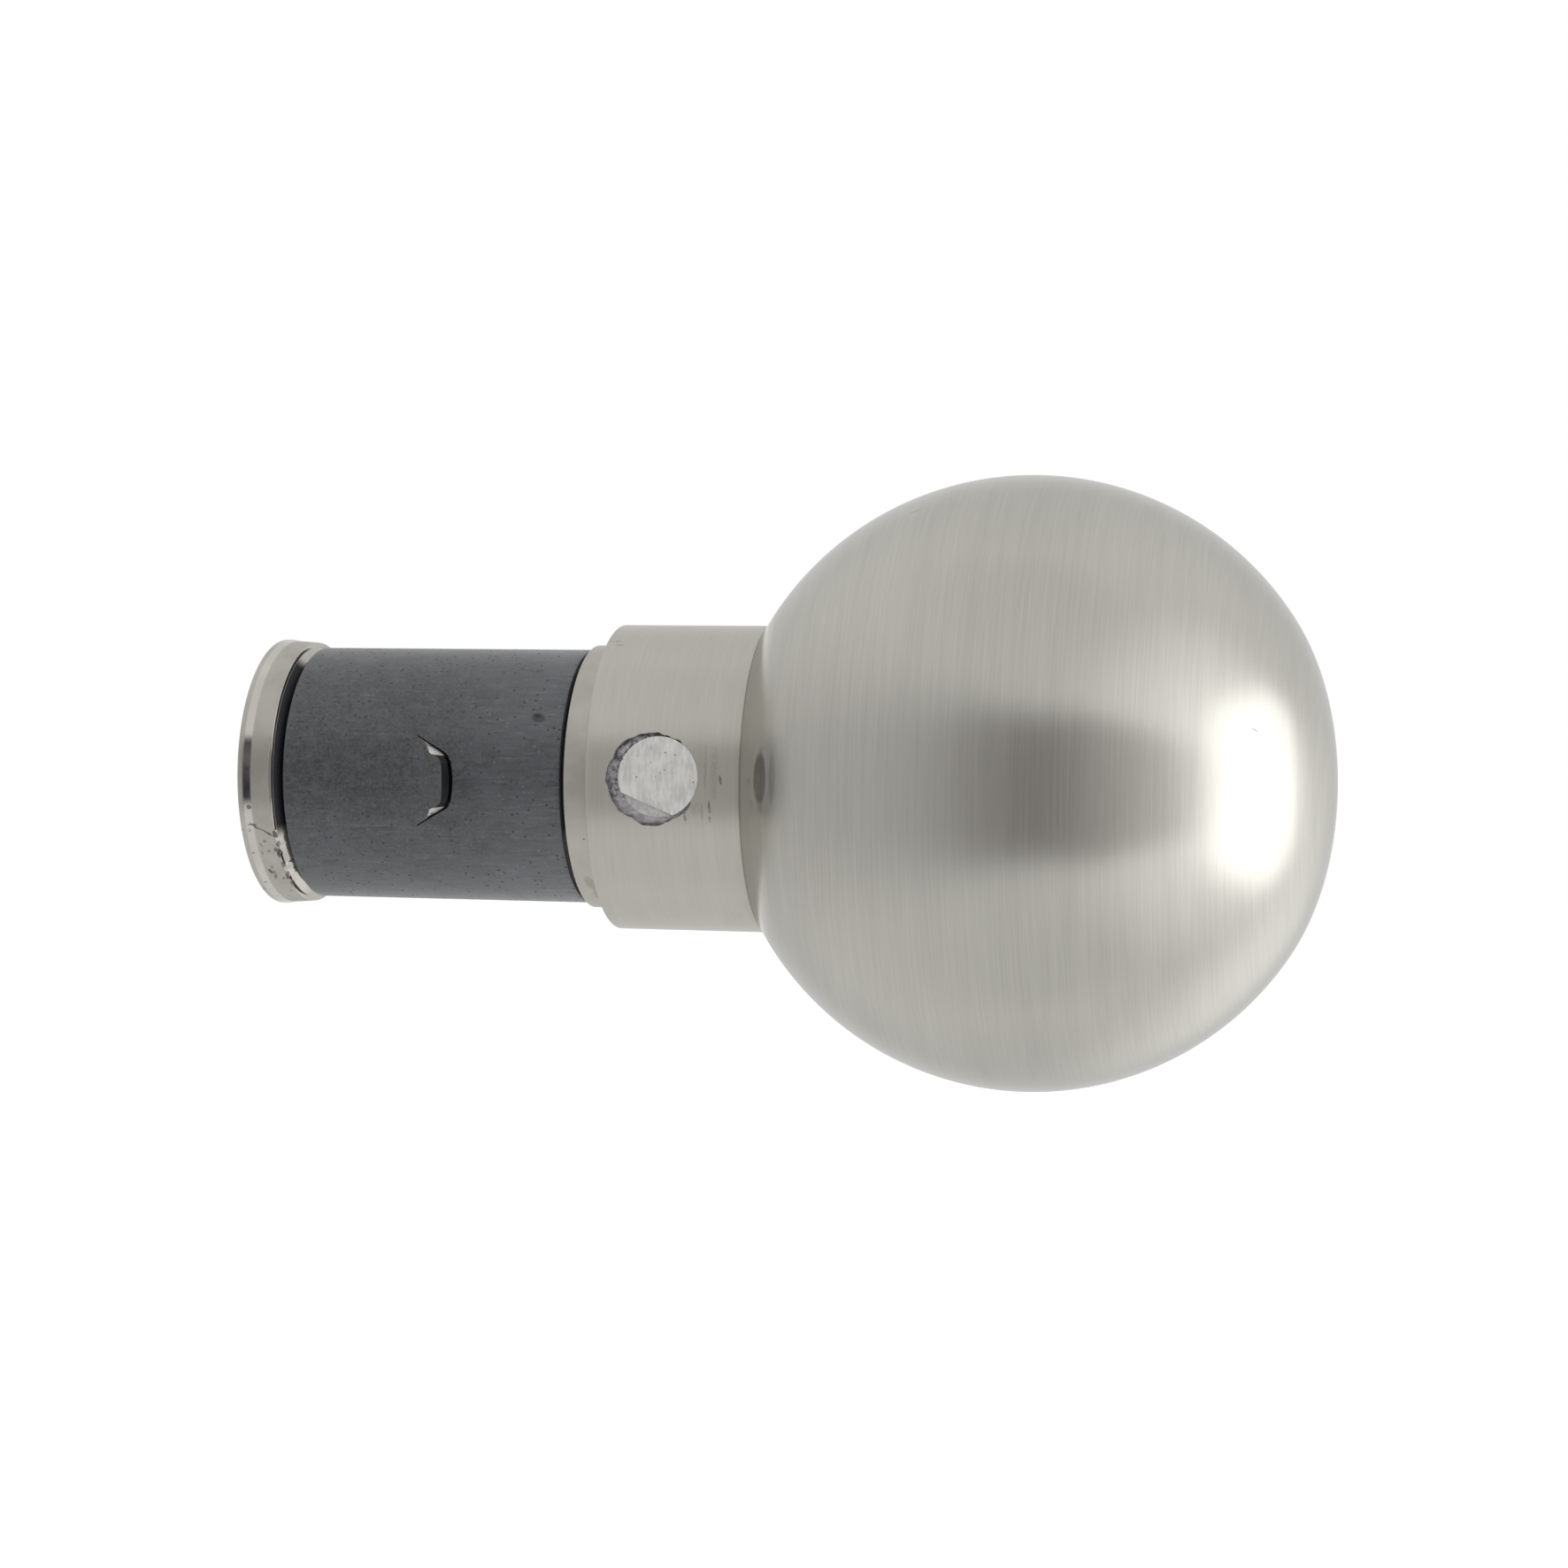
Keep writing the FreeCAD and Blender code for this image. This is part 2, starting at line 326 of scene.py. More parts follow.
def brushed_finish(tree, shader, across, round_place, lines, pale, deep, roughness, stretch, metal):
    """Satin metal brushed round the axis: gives its colour and roughness, and feeds the shader the rest."""
    marks = place_group(tree, brushed_lines, {"Place": across, "Round": round_place, "Lines": lines})
    shade = product(tree, marks["Lines"], LINE_SHARE)
    shade = added_share(tree, marks["Bands"], 1 - LINE_SHARE, shade)
    feed(tree, shader, {
        "Normal": raised(tree, LINE_HEIGHT, marks["Lines"]),
        "Tangent": add_node(tree, "Tangent", direction_type="RADIAL", axis="X").outputs[0],
        "Metallic": metal, "Specular Tint": EDGE_TINT, "Anisotropic": stretch,
        "Anisotropic Rotation": ACROSS_THE_BRUSH})
    return (mixed(tree, between(tree, shade, *BRUSHED_SPAN), deep, pale),
            added_share(tree, marks["Lines"], LINE_ROUGHNESS, roughness - LINE_ROUGHNESS / 2))


tree, shader, place = new_material("brushed_ball", ball)
polar = reckon(tree, "ARCTAN2", place["Off Axis"], reckon(tree, "SUBTRACT", place["Along"], ball_centre))
colour, rough = brushed_finish(
    tree, shader, product(tree, polar, BALL_RADIUS), place["Round"], BALL_LINES, BALL_PALE, BALL_DEEP,
    BALL_ROUGHNESS, BALL_STRETCH, BALL_METAL)
# The seam's front crescent is smoother, and painted paler as a reflection of the collar.
round_front = parts_of(tree, place["Round"])[1]
seam_reflection = between(tree, added_share(tree, round_front, SEAM_BULGE, place["Along"]), *SEAM_EDGE)
rough = added_share(tree, seam_reflection, SEAM_ROUGHNESS - BALL_ROUGHNESS, rough)
colour = mixed(tree, seam_reflection, colour, SEAM_PAINTED_REFLECTION)
streaks = grain(tree, vector_result(tree, "MULTIPLY", place["Point"], STREAK_STRETCH), *STREAK_NOISE)
# Nicks, and a dark reflection painted on the seam's crescent.
for *row, depth in BALL_NICKS_AND_REFLECTION:
    streaked = between(tree, streaks, *STREAK_SPAN, FAINTEST_STREAK * depth, depth)
    colour = mixed(tree, product(tree, marked(tree, place, BALL_RADIUS, *row), streaked), colour, NICK_AND_PAINTED_REFLECTION)
feed(tree, shader, {"Base Color": colour, "Roughness": rough})


# The collar: a ring of the pole's own diameter, turned and brushed like the ball and held against it by
# the spigot's tenon. Its cross hole was torn at the mouth when the pin was driven in.
COLLAR_SEGMENTS = 256
COLLAR_SLICES = 26
ROUNDING_CUTS = 3
TENON_BORE_RADIUS = 6.05 * MM
RECESS_RADIUS = 9.05 * MM
RECESS_DEPTH = 0.6 * MM
EDGE_BREAK = 0.12 * MM
PIN_RADIUS = 2.55 * MM
DRIVEN_ROOM = 0.008 * MM
PIN_SEGMENTS = 120
TEAR_RADIUS = 3.06 * MM
TEAR_SHIFT = Vector((-0.43 * MM, 0, -0.1 * MM))
TEAR_DEPTH = 0.3 * MM
TEAR_RINGS = 12
TEAR_RAGGED = 0.16 * MM
TEAR_BUMPS = 1.1 / MM
FINER_BUMPS = 2.3
FINER_SHARE = 0.5
TEAR_ROUGH = 0.2 * MM
ROUGH_BUMPS = 1.7
TEAR_FLOOR = 0.94
COLLAR_PALE = (0.525, 0.512, 0.462, 1)
COLLAR_DEEP = (0.486, 0.474, 0.427, 1)
COLLAR_ROUGHNESS = 0.36
COLLAR_METAL = 0.82
COLLAR_LINES = 7500
COLLAR_STRETCH = 0.85
# Grime for scuffs and pits, also used as painted shade on the pin's sunk side.
GRIME_AND_SHADE = (0.14, 0.135, 0.15, 1)
GRIME_ROUGHNESS = 0.5
SCUFF_NOISE = (5200.0, 2.0, 0.5)
SCUFF_SPAN = (0.32, 0.55)
# Painted shade on the torn floor, and the lighter metal of its painted glints and smear.
TORN_SHADE = (0.17, 0.162, 0.18, 1)
TORN_METAL = (0.5, 0.49, 0.5, 1)
TORN_REACH = (4.2 * MM, 3.9 * MM)
TORN_BELOW = (COLLAR_RADIUS - 0.02 * MM, COLLAR_RADIUS - 0.09 * MM)
GLINT_NOISE = (3800.0, 3.0, 0.6)
GLINT_SPAN = (0.36, 0.6)
RIM_GLINTS = (2.75 * MM, 3.6 * MM, 0.0, 0.5)
SMEARED_WITHIN = (TEAR_RADIUS - 0.08 * MM, TEAR_RADIUS - 0.26 * MM)
SMEARED_TURN = (math.radians(-7), math.radians(-12), 0.0, 0.9)
# Scuffs beside the pin, and nicks near the pole's end.
COLLAR_MARKS = (
    (6.45, -14.2, 0.10, 0.50, 0.05, 0.55), (8.02, -12.4, 0.09, 0.75, 0.02, 0.75),
    (7.55, -12.0, 0.07, 0.6, 0, 0.3), (8.74, -0.8, 0.10, 0.32, 0.15, 0.7), (7.75, 4.0, 0.10, 1.5, 0, 0.22),
    (8.35, 1.5, 0.22, 1.9, 0, 0.16), (0.55, 60.5, 0.42, 0.09, -1.2, 0.5), (0.95, 57.5, 0.40, 0.08, -1.2, 0.4),
    (7.1, -11.0, 0.3, 0.5, 0, 0.14))

collar_low, collar_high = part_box("collar")
collar_start, collar_end = collar_low.x, collar_high.x
pin_low, pin_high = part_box("cross_pin")
pin_centre = Vector(((pin_low.x + pin_high.x) / 2, 0, 0))


def spun(work, points, centre, axis, steps, closed):
    """Turns a line of vertices all the way round an axis."""
    ends = points[1:] + points[:1] if closed else points[1:]
    sides = [work.edges.new(pair) for pair in zip(points, ends)]
    bmesh.ops.spin(
        work, geom=points + sides, cent=centre, axis=axis, angle=math.tau, steps=steps, use_merge=True)
    bmesh.ops.remove_doubles(work, verts=work.verts, dist=TINY)
    bmesh.ops.recalc_face_normals(work, faces=work.faces)
    return work


def turned(outline, steps):
    """Turns a closed outline of places along and off the axis into a ring or bar."""
    work = bmesh.new()
    points = [work.verts.new((along, 0, off_axis)) for along, off_axis in outline]
    return spun(work, points, (0, 0, 0), (1, 0, 0), steps, True)


def cross_disc(centre, radius, rings, front, back):
    """A round bar across the axis at a centre, with rings of faces on its front end."""
    work = bmesh.new()
    places = [(centre.x + radius * ring / rings, front, centre.z) for ring in range(rings + 1)]
    places += [(centre.x + radius, back, centre.z), (centre.x, back, centre.z)]
    points = [work.verts.new(place) for place in places]
    return spun(work, points, centre, (0, 1, 0), PIN_SEGMENTS, False)


def off_axis_of(spot):
    """A spot's distance from the axis."""
    return math.hypot(spot.y, spot.z)


def rounded(work, edges, size):
    """Rounds some edges by so much."""
    bmesh.ops.bevel(work, geom=edges, offset=size, offset_type="OFFSET", segments=ROUNDING_CUTS, profile=0.5,
                    affect="EDGES", material=-1)


def rounded_at(work, along, off_axis, size):
    """Rounds the ring of edges at one place along and off the axis."""
    def is_there(vert):
        return abs(vert.co.x - along) < TOUCHING and abs(off_axis_of(vert.co) - off_axis) < TOUCHING
    rounded(work, [edge for edge in work.edges if is_there(edge.verts[0]) and is_there(edge.verts[1])], size)


def sliced_between(work, start, end, slices):
    """Divides the walls of a turned piece into slices along the axis."""
    for number in range(1, slices):
        along = start + (end - start) * number / slices
        bmesh.ops.bisect_plane(
            work, geom=all_of(work), dist=TINY, plane_co=(along, 0, 0), plane_no=(1, 0, 0))


def cut_away(piece, work):
    """Cuts a closed shape out of a piece's mesh."""
    bmesh.ops.recalc_face_normals(work, faces=work.faces)
    cutter = linked_object(work, "cutter")
    cut = piece.modifiers.new("cut", "BOOLEAN")
    cut.operation, cut.solver, cut.object = "DIFFERENCE", "EXACT", cutter
    shown = piece.evaluated_get(bpy.context.evaluated_depsgraph_get())
    whole, piece.data = piece.data, bpy.data.meshes.new_from_object(shown)
    piece.modifiers.clear()
    piece.data.shade_smooth()
    piece.data.set_sharp_from_angle(angle=SHARP_ANGLE)
    bpy.data.objects.remove(cutter)
    bpy.data.meshes.remove(whole)


collar_work = turned([
    (collar_start, RECESS_RADIUS), (collar_start, COLLAR_RADIUS), (collar_end, COLLAR_RADIUS),
    (collar_end, TENON_BORE_RADIUS), (collar_start + RECESS_DEPTH, TENON_BORE_RADIUS),
    (collar_start + RECESS_DEPTH, RECESS_RADIUS)], COLLAR_SEGMENTS)
rounded_at(collar_work, collar_start, COLLAR_RADIUS, EDGE_BREAK)
rounded_at(collar_work, collar_end, COLLAR_RADIUS, EDGE_BREAK)
sliced_between(collar_work, collar_start, collar_end, COLLAR_SLICES)
collar = finished_piece(collar_work, "finial_collar", "collar")
cut_away(collar, cross_disc(pin_centre, PIN_RADIUS + DRIVEN_ROOM, 1, -2 * COLLAR_RADIUS, 0))

# The torn mouth has a ragged edge, sides that lean in to the hole, and a floor that follows the collar.
tear_centre = pin_centre + TEAR_SHIFT
tear = cross_disc(tear_centre, TEAR_RADIUS, TEAR_RINGS, 0, -2 * COLLAR_RADIUS)
for vert in tear.verts:
    spoke = Vector((vert.co.x - tear_centre.x, 0, vert.co.z - tear_centre.z))
    share = spoke.length / TEAR_RADIUS
    rim = spoke.normalized() * TEAR_RADIUS
    ragged = noise.noise(rim * TEAR_BUMPS) + FINER_SHARE * noise.noise(rim * TEAR_BUMPS * FINER_BUMPS)
    on_floor = vert.co.y > -COLLAR_RADIUS
    out = (TEAR_FLOOR if on_floor else 1.0) * TEAR_RADIUS + ragged * TEAR_RAGGED
    reach = spoke.normalized() * share * out
    vert.co.x, vert.co.z = tear_centre.x + reach.x, tear_centre.z + reach.z
    if on_floor:
        uneven = noise.noise(vert.co * TEAR_BUMPS * ROUGH_BUMPS) * TEAR_ROUGH
        vert.co.y = -math.sqrt((COLLAR_RADIUS - TEAR_DEPTH) ** 2 - vert.co.z ** 2) + uneven
cut_away(collar, tear)

tree, shader, place = new_material("brushed_collar", collar)
colour, rough = brushed_finish(
    tree, shader, place["Along"], place["Round"], COLLAR_LINES, COLLAR_PALE, COLLAR_DEEP, COLLAR_ROUGHNESS,
    COLLAR_STRETCH, COLLAR_METAL)
broken_up = between(tree, grain(tree, place["Point"], *SCUFF_NOISE), *SCUFF_SPAN)
for *row, depth in COLLAR_MARKS:
    scuff = product(tree, marked(tree, place, COLLAR_RADIUS, *row), broken_up, depth)
    colour = mixed(tree, scuff, colour, GRIME_AND_SHADE)
seen_from_front = vector_result(tree, "MULTIPLY", place["Point"], (1, 0, 1))
near_pin = vector_result(tree, "DISTANCE", seen_from_front, pin_centre)
near_tear = vector_result(tree, "DISTANCE", seen_from_front, tear_centre)
# The sunk floor of the torn mouth is painted dark as shade, with painted glints of lighter metal that grow
# towards the outer rim, and smeared metal at the lower side.
torn_floor_shade = product(
    tree, between(tree, near_pin, *TORN_REACH), between(tree, place["Off Axis"], *TORN_BELOW))
smeared = product(
    tree, between(tree, near_tear, *SMEARED_WITHIN), between(tree, place["Turn"], *SMEARED_TURN))
glints_and_smear = largest(
    tree, between(tree, grain(tree, place["Point"], *GLINT_NOISE), *GLINT_SPAN),
    between(tree, near_pin, *RIM_GLINTS), smeared)
colour = mixed(tree, torn_floor_shade, colour, mixed(tree, glints_and_smear, TORN_SHADE, TORN_METAL))
feed(tree, shader, {
    "Base Color": colour, "Roughness": largest(tree, rough, product(tree, torn_floor_shade, GRIME_ROUGHNESS))})


# The spigot: a nickel-plated casting in one piece, with the flange that enters the pole first, a waist for
# the sleeve, a register ring, a shoulder and tenon in the collar, and the stud that goes into the ball.
SPIGOT_SEGMENTS = 320
LIP_RADIUS = 8.89 * MM
LIP_LENGTH = 0.4 * MM
LIP_RAMP = 0.45 * MM
LAND_RADIUS = 8.79 * MM
FLANGE_BACK_RADIUS = 8.69 * MM
FLANGE_LENGTH = 2.25 * MM
WAIST_RADIUS = 7.8 * MM
BACK_SLOPE = 0.6 * MM
REGISTER_RADIUS = 8.65 * MM
REGISTER_LENGTH = 1.75 * MM
SHOULDER_RADIUS = 9.0 * MM
TENON_RADIUS = 6.0 * MM
TENON_END = 9.65 * MM
STUD_RADIUS = 4.0 * MM
STUD_CHAMFER = 0.8 * MM
FINE_BREAK = 0.05 * MM
PIN_ROOM = 0.05 * MM
PIN_END_ROOM = 0.3 * MM
CHIPPED_EDGE = (-62.0, -27.0)
CHIPPED_DEPTH = 0.42 * MM
CHIPPED_BUMPS = 1.9 / MM
CHIPPED_MOST = 0.25
CHIPPED_SINK = 0.5
NICKEL_PALE = (0.475, 0.463, 0.418, 1)
NICKEL_DEEP = (0.42, 0.408, 0.365, 1)
NICKEL_ROUGHNESS = 0.14
NICKEL_METAL = 0.9
CLOUD_NOISE = (420.0, 4.0, 0.6)
CLOUD_SPAN = (0.35, 0.65)
CLOUD_ROUGHNESS = 0.08
RIPPLE_NOISE = (1500.0, 3.0, 0.5)
RIPPLE_HEIGHT = 0.03
LAND_ROUGHNESS = 0.42
RING_ROUGHNESS = 0.3
# A paler colour painted on the ramp as a sheen.
RAMP_PAINTED_SHEEN = (0.62, 0.61, 0.57, 1)
RAMP_SHEEN_SHARE = 0.7
ON_RAMP = (0.3 * MM, 0.18 * MM)
# Where a dark reflection of the camera's side is painted on the ramp.
LIP_REFLECTION_SPAN = (-13.0, 13.5, 0.04)
LIP_REFLECTION_CLOUD = (0.25, 0.6, 0.6, 0.95)
# The dark colour painted as a reflection on the ramp and as shade in the groove.
DARK_SHADE_AND_REFLECTION = (0.028, 0.027, 0.032, 1)
# Where the groove between the flange and the sleeve is painted dark as shade.
GROOVE_SHADE_SPAN = (-29.0, 61.0, 0.08)
GROOVE_SHADE_START = (-0.03 * MM, 0.04 * MM)
GROOVE_SHADE_END = (-1.0 * REGISTER_LENGTH, -1.2 * REGISTER_LENGTH)
GROOVE_SHADE_BELOW = (FLANGE_BACK_RADIUS, FLANGE_BACK_RADIUS - 0.12 * MM)
PITTED_SPAN = (-72.0, -24.0, 0.15)
PITTED_END = (0.1 * MM, -0.05 * MM)
# Scattered pits are given as their cells to a metre, their size in a cell, and the share of cells with one.
FLANGE_PITS = (2300.0, 0.36, 0.28)
FEW_PITS = (900.0, 0.07, 0.5)
PIT_FLOOR = 0.4
PIT_STRENGTH = 0.6
PIT_GRIME = 0.8
PIT_HEIGHT = 0.05 * MM
DULLED_ROUGHNESS = 0.35
CRACK_START = (-22.87, -22.8)
CRACK_END = (-21.44, -30.0)
CRACK_HALF = 0.077
CRACK_REACH = 0.55
CRACK_NOISE = (1700.0, 2.0, 0.5)
CRACK_WANDER = 0.7 * MM
# Small blisters and stains of the plating.
SPIGOT_MARKS = (
    (-21.4, -2.0, 0.1, 2.3, 0, 0.6), (-21.42, -29.0, 0.1, 0.3, 0.2, 0.9),
    (-21.38, -34.5, 0.09, 0.26, -0.2, 0.8), (-21.4, -39.0, 0.13, 0.3, 0.2, 0.95),
    (-21.37, -45.5, 0.08, 0.4, 0, 0.85), (-21.4, -53.0, 0.1, 0.35, -0.1, 0.9),
    (-21.36, -59.0, 0.07, 0.3, 0, 0.7),
    (-22.86, -15.6, 0.16, 0.16, 0.2, 0.8), (-22.75, -23.4, 0.30, 0.05, 0, 0.8),
    (-22.35, -49.0, 0.14, 0.24, 0.3, 0.85), (-22.15, -52.5, 0.10, 0.28, -0.3, 0.7),
    (-22.45, -33.5, 0.07, 0.22, 0.3, 0.45), (-22.5, -38.0, 0.07, 0.14, 0, 0.4),
    (-0.75, -53.0, 0.35, 0.8, 0.2, 0.3), (-0.45, -62.0, 0.4, 1.0, 0, 0.3))

spigot_low, spigot_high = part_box("spigot")
spigot_start, spigot_end = spigot_low.x, spigot_high.x
ramp_start = spigot_start + LIP_LENGTH
land_start = ramp_start + LIP_RAMP
flange_back = spigot_start + FLANGE_LENGTH
spigot_work = turned([
    (spigot_start, 0),
    (spigot_start, LIP_RADIUS),
    (ramp_start, LIP_RADIUS),
    (land_start, LAND_RADIUS),
    (flange_back, FLANGE_BACK_RADIUS),
    (flange_back, WAIST_RADIUS + BACK_SLOPE),
    (flange_back + BACK_SLOPE, WAIST_RADIUS),
    (-REGISTER_LENGTH, WAIST_RADIUS),
    (-REGISTER_LENGTH, REGISTER_RADIUS),
    (0, REGISTER_RADIUS),
    (0, SHOULDER_RADIUS),
    (RECESS_DEPTH, SHOULDER_RADIUS),
    (RECESS_DEPTH, TENON_RADIUS),
    (TENON_END, TENON_RADIUS),
    (TENON_END, STUD_RADIUS),
    (spigot_end - STUD_CHAMFER, STUD_RADIUS),
    (spigot_end, STUD_RADIUS - STUD_CHAMFER),
    (spigot_end, 0)], SPIGOT_SEGMENTS)
rounded_at(spigot_work, spigot_start, LIP_RADIUS, EDGE_BREAK)
rounded_at(spigot_work, flange_back, FLANGE_BACK_RADIUS, FINE_BREAK)
rounded_at(spigot_work, -REGISTER_LENGTH, REGISTER_RADIUS, FINE_BREAK)
sliced_between(spigot_work, 0, TENON_END, COLLAR_SLICES)

# The plating has chipped off along the lower part of the flange's inner edge.
for vert in spigot_work.verts:
    out = off_axis_of(vert.co)
    at_back = abs(vert.co.x - flange_back) < 2 * FINE_BREAK
    turn = math.degrees(math.atan2(vert.co.z, -vert.co.y))
    if at_back and out > WAIST_RADIUS + BACK_SLOPE + FINE_BREAK and CHIPPED_EDGE[0] < turn < CHIPPED_EDGE[1]:
        bite = max(noise.noise(vert.co * CHIPPED_BUMPS) + CHIPPED_MOST, 0) * CHIPPED_DEPTH
        left = 1 - CHIPPED_SINK * bite / out
        vert.co = Vector((vert.co.x - bite, vert.co.y * left, vert.co.z * left))
spigot = finished_piece(spigot_work, "finial_spigot", "spigot")
cut_away(spigot, cross_disc(
    pin_centre, PIN_RADIUS + PIN_ROOM, 1, -2 * COLLAR_RADIUS, pin_high.y + PIN_END_ROOM))

# Small round pits, scattered one to a cell and left out of some cells.
scattered_pits, group_in, group_out = new_group(
    "scattered_pits", ("Point", "Scale", "Size", "Share"), ("Mask",))
given = group_in.outputs
cells = add_node(scattered_pits, "TexVoronoi", {
    "Vector": given["Point"], "Scale": given["Scale"]}).outputs
drawn = parts_of(scattered_pits, cells["Color"])[0]
pit_floor = product(scattered_pits, given["Size"], PIT_FLOOR)
pit = between(scattered_pits, cells["Distance"], given["Size"], pit_floor)
kept = reckon(scattered_pits, "LESS_THAN", drawn, given["Share"])
feed(scattered_pits, group_out, {"Mask": product(scattered_pits, pit, kept)})


def pitted(tree, spot, scale, size, share):
    """The mask of pits scattered over a surface."""
    return place_group(tree, scattered_pits, {
        "Point": spot, "Scale": scale, "Size": size, "Share": share})["Mask"]


def in_span(tree, place, start, end, soft):
    """A mask from one number of degrees up from the front to another, with soft ends."""
    low, high = math.radians(start), math.radians(end)
    return product(tree, between(tree, place["Turn"], low - soft, low + soft),
                   between(tree, place["Turn"], high + soft, high - soft))


def past(tree, place, start, offsets):
    """A mask that begins at one offset along the axis from a place and is whole at the other."""
    return between(tree, place["Along"], start + offsets[0], start + offsets[1])


tree, shader, place = new_material("plated_spigot", spigot)
cloud = grain(tree, place["Point"], *CLOUD_NOISE)
ripple = grain(tree, place["Point"], *RIPPLE_NOISE)
colour = mixed(tree, between(tree, cloud, *CLOUD_SPAN), NICKEL_DEEP, NICKEL_PALE)
rough = added_share(tree, cloud, CLOUD_ROUGHNESS, NICKEL_ROUGHNESS - CLOUD_ROUGHNESS / 2)
on_land = product(tree, past(tree, place, land_start, (0, EDGE_BREAK)),
                  past(tree, place, flange_back, (0, -EDGE_BREAK)))
rough = added_share(tree, on_land, LAND_ROUGHNESS - NICKEL_ROUGHNESS, rough)
on_ring = past(tree, place, -REGISTER_LENGTH, (0, EDGE_BREAK))
rough = added_share(tree, on_ring, RING_ROUGHNESS - NICKEL_ROUGHNESS, rough)
pits = product(
    tree, pitted(tree, place["Point"], *FLANGE_PITS), in_span(tree, place, *PITTED_SPAN),
    past(tree, place, flange_back, PITTED_END), PIT_STRENGTH)
few_pits = product(tree, pitted(tree, place["Point"], *FEW_PITS), PIT_STRENGTH)
crack_rise = math.radians(CRACK_END[1] - CRACK_START[1]) * LAND_RADIUS / MM
crack_lean = (CRACK_END[0] - CRACK_START[0]) / crack_rise
crack_middle = [(start + end) / 2 for start, end in zip(CRACK_START, CRACK_END)]
wander = added_share(tree, grain(tree, place["Point"], *CRACK_NOISE), CRACK_WANDER, -CRACK_WANDER / 2)
crack_place = dict(place.items())
crack_place["Along"] = reckon(tree, "ADD", place["Along"], wander)
crack = marked(tree, crack_place, LAND_RADIUS, *crack_middle, CRACK_HALF, abs(crack_rise) * CRACK_REACH,
               -crack_lean)
pits = largest(tree, pits, few_pits, deepest_marks(tree, place, LAND_RADIUS, SPIGOT_MARKS), crack)
colour = mixed(tree, product(tree, pits, PIT_GRIME), colour, GRIME_AND_SHADE)
# The ramp behind the lip is painted paler as a sheen.
off_ramp = reckon(tree, "SUBTRACT", place["Along"], ramp_start + LIP_RAMP / 2)
on_ramp = between(tree, reckon(tree, "ABSOLUTE", off_ramp), *ON_RAMP)
ramp_sheen = product(tree, on_ramp, reckon(tree, "SUBTRACT", RAMP_SHEEN_SHARE, pits))
colour = mixed(tree, ramp_sheen, colour, RAMP_PAINTED_SHEEN)
# A dark stripe on the ramp, painted as a reflection of the camera's dark side.
ramp_dark_reflection = product(
    tree, in_span(tree, place, *LIP_REFLECTION_SPAN), on_ramp, between(tree, cloud, *LIP_REFLECTION_CLOUD))
colour = mixed(tree, ramp_dark_reflection, colour, DARK_SHADE_AND_REFLECTION)
# The groove between the flange and the sleeve is painted dark as shade, and duller.
groove_shade = product(
    tree, past(tree, place, flange_back, GROOVE_SHADE_START), past(tree, place, 0, GROOVE_SHADE_END),
    in_span(tree, place, *GROOVE_SHADE_SPAN), between(tree, place["Off Axis"], *GROOVE_SHADE_BELOW))
colour = mixed(tree, groove_shade, colour, DARK_SHADE_AND_REFLECTION)
height = added_share(tree, ripple, RIPPLE_HEIGHT, product(tree, pits, -1.0))
feed(tree, shader, {
    "Base Color": colour, "Roughness": added_share(tree, largest(tree, pits, groove_shade), DULLED_ROUGHNESS, rough),
    "Normal": raised(tree, PIT_HEIGHT, height), "Metallic": NICKEL_METAL, "Specular Tint": EDGE_TINT})


# The spring sleeve: blued spring-steel strip, rolled round the waist with its slit at the back. Three
# tongues are lanced out of it and bent up towards the collar, to grip the inside of the pole.
SLEEVE_RADIUS = 8.35 * MM
SLEEVE_THICKNESS = 0.5 * MM
SLEEVE_ROWS = 52
SLEEVE_COLUMNS = 180
SLIT_WIDTH = 1.2 * MM
SLEEVE_TURN = math.radians(-3.4)
END_ROUND = 0.1 * MM
TONGUE_COUNT = 3
TONGUE_TIP = -9.5 * MM
TONGUE_LENGTH = 2.25 * MM
TONGUE_ROOT_HALF = 2.95 * MM
TONGUE_TIP_HALF = 1.6 * MM
TONGUE_CORNER = 0.6 * MM
TONGUE_RISE = 0.5 * MM
CORNER_CUTS = 4
LANCE_GAP = 0.1 * MM
LANCE_MARGIN = 0.8 * MM
TIP_BOW = 0.25 * MM
TIP_OPENING = 0.24 * MM
OPENING_FADE = 1.0 * MM
TIP_SHEAR = 0.24 * MM
CORNER_SHEAR = 0.42 * MM
CORNER_REACH = 0.95 * MM
CORNER_BACK = Vector((-0.18 * MM, 0.68 * MM, 0))
OXIDE_PALE = (0.045, 0.048, 0.054, 1)
OXIDE_DEEP = (0.003, 0.0036, 0.0045, 1)
OXIDE_RUBBED = (0.07, 0.074, 0.083, 1)
OXIDE_STREAK = (0.125, 0.131, 0.145, 1)
OXIDE_TINGE = (0.038, 0.058, 0.068, 1)
OXIDE_PORE = (0.006, 0.006, 0.008, 1)
OXIDE_IOR = 1.85
OXIDE_ROUGHNESS = 0.36
MOTTLE_ROUGHNESS = (0.2, 0.08)
PORE_ROUGHNESS = 0.25
CUT_SHADE = (0.032, 0.035, 0.038, 1)
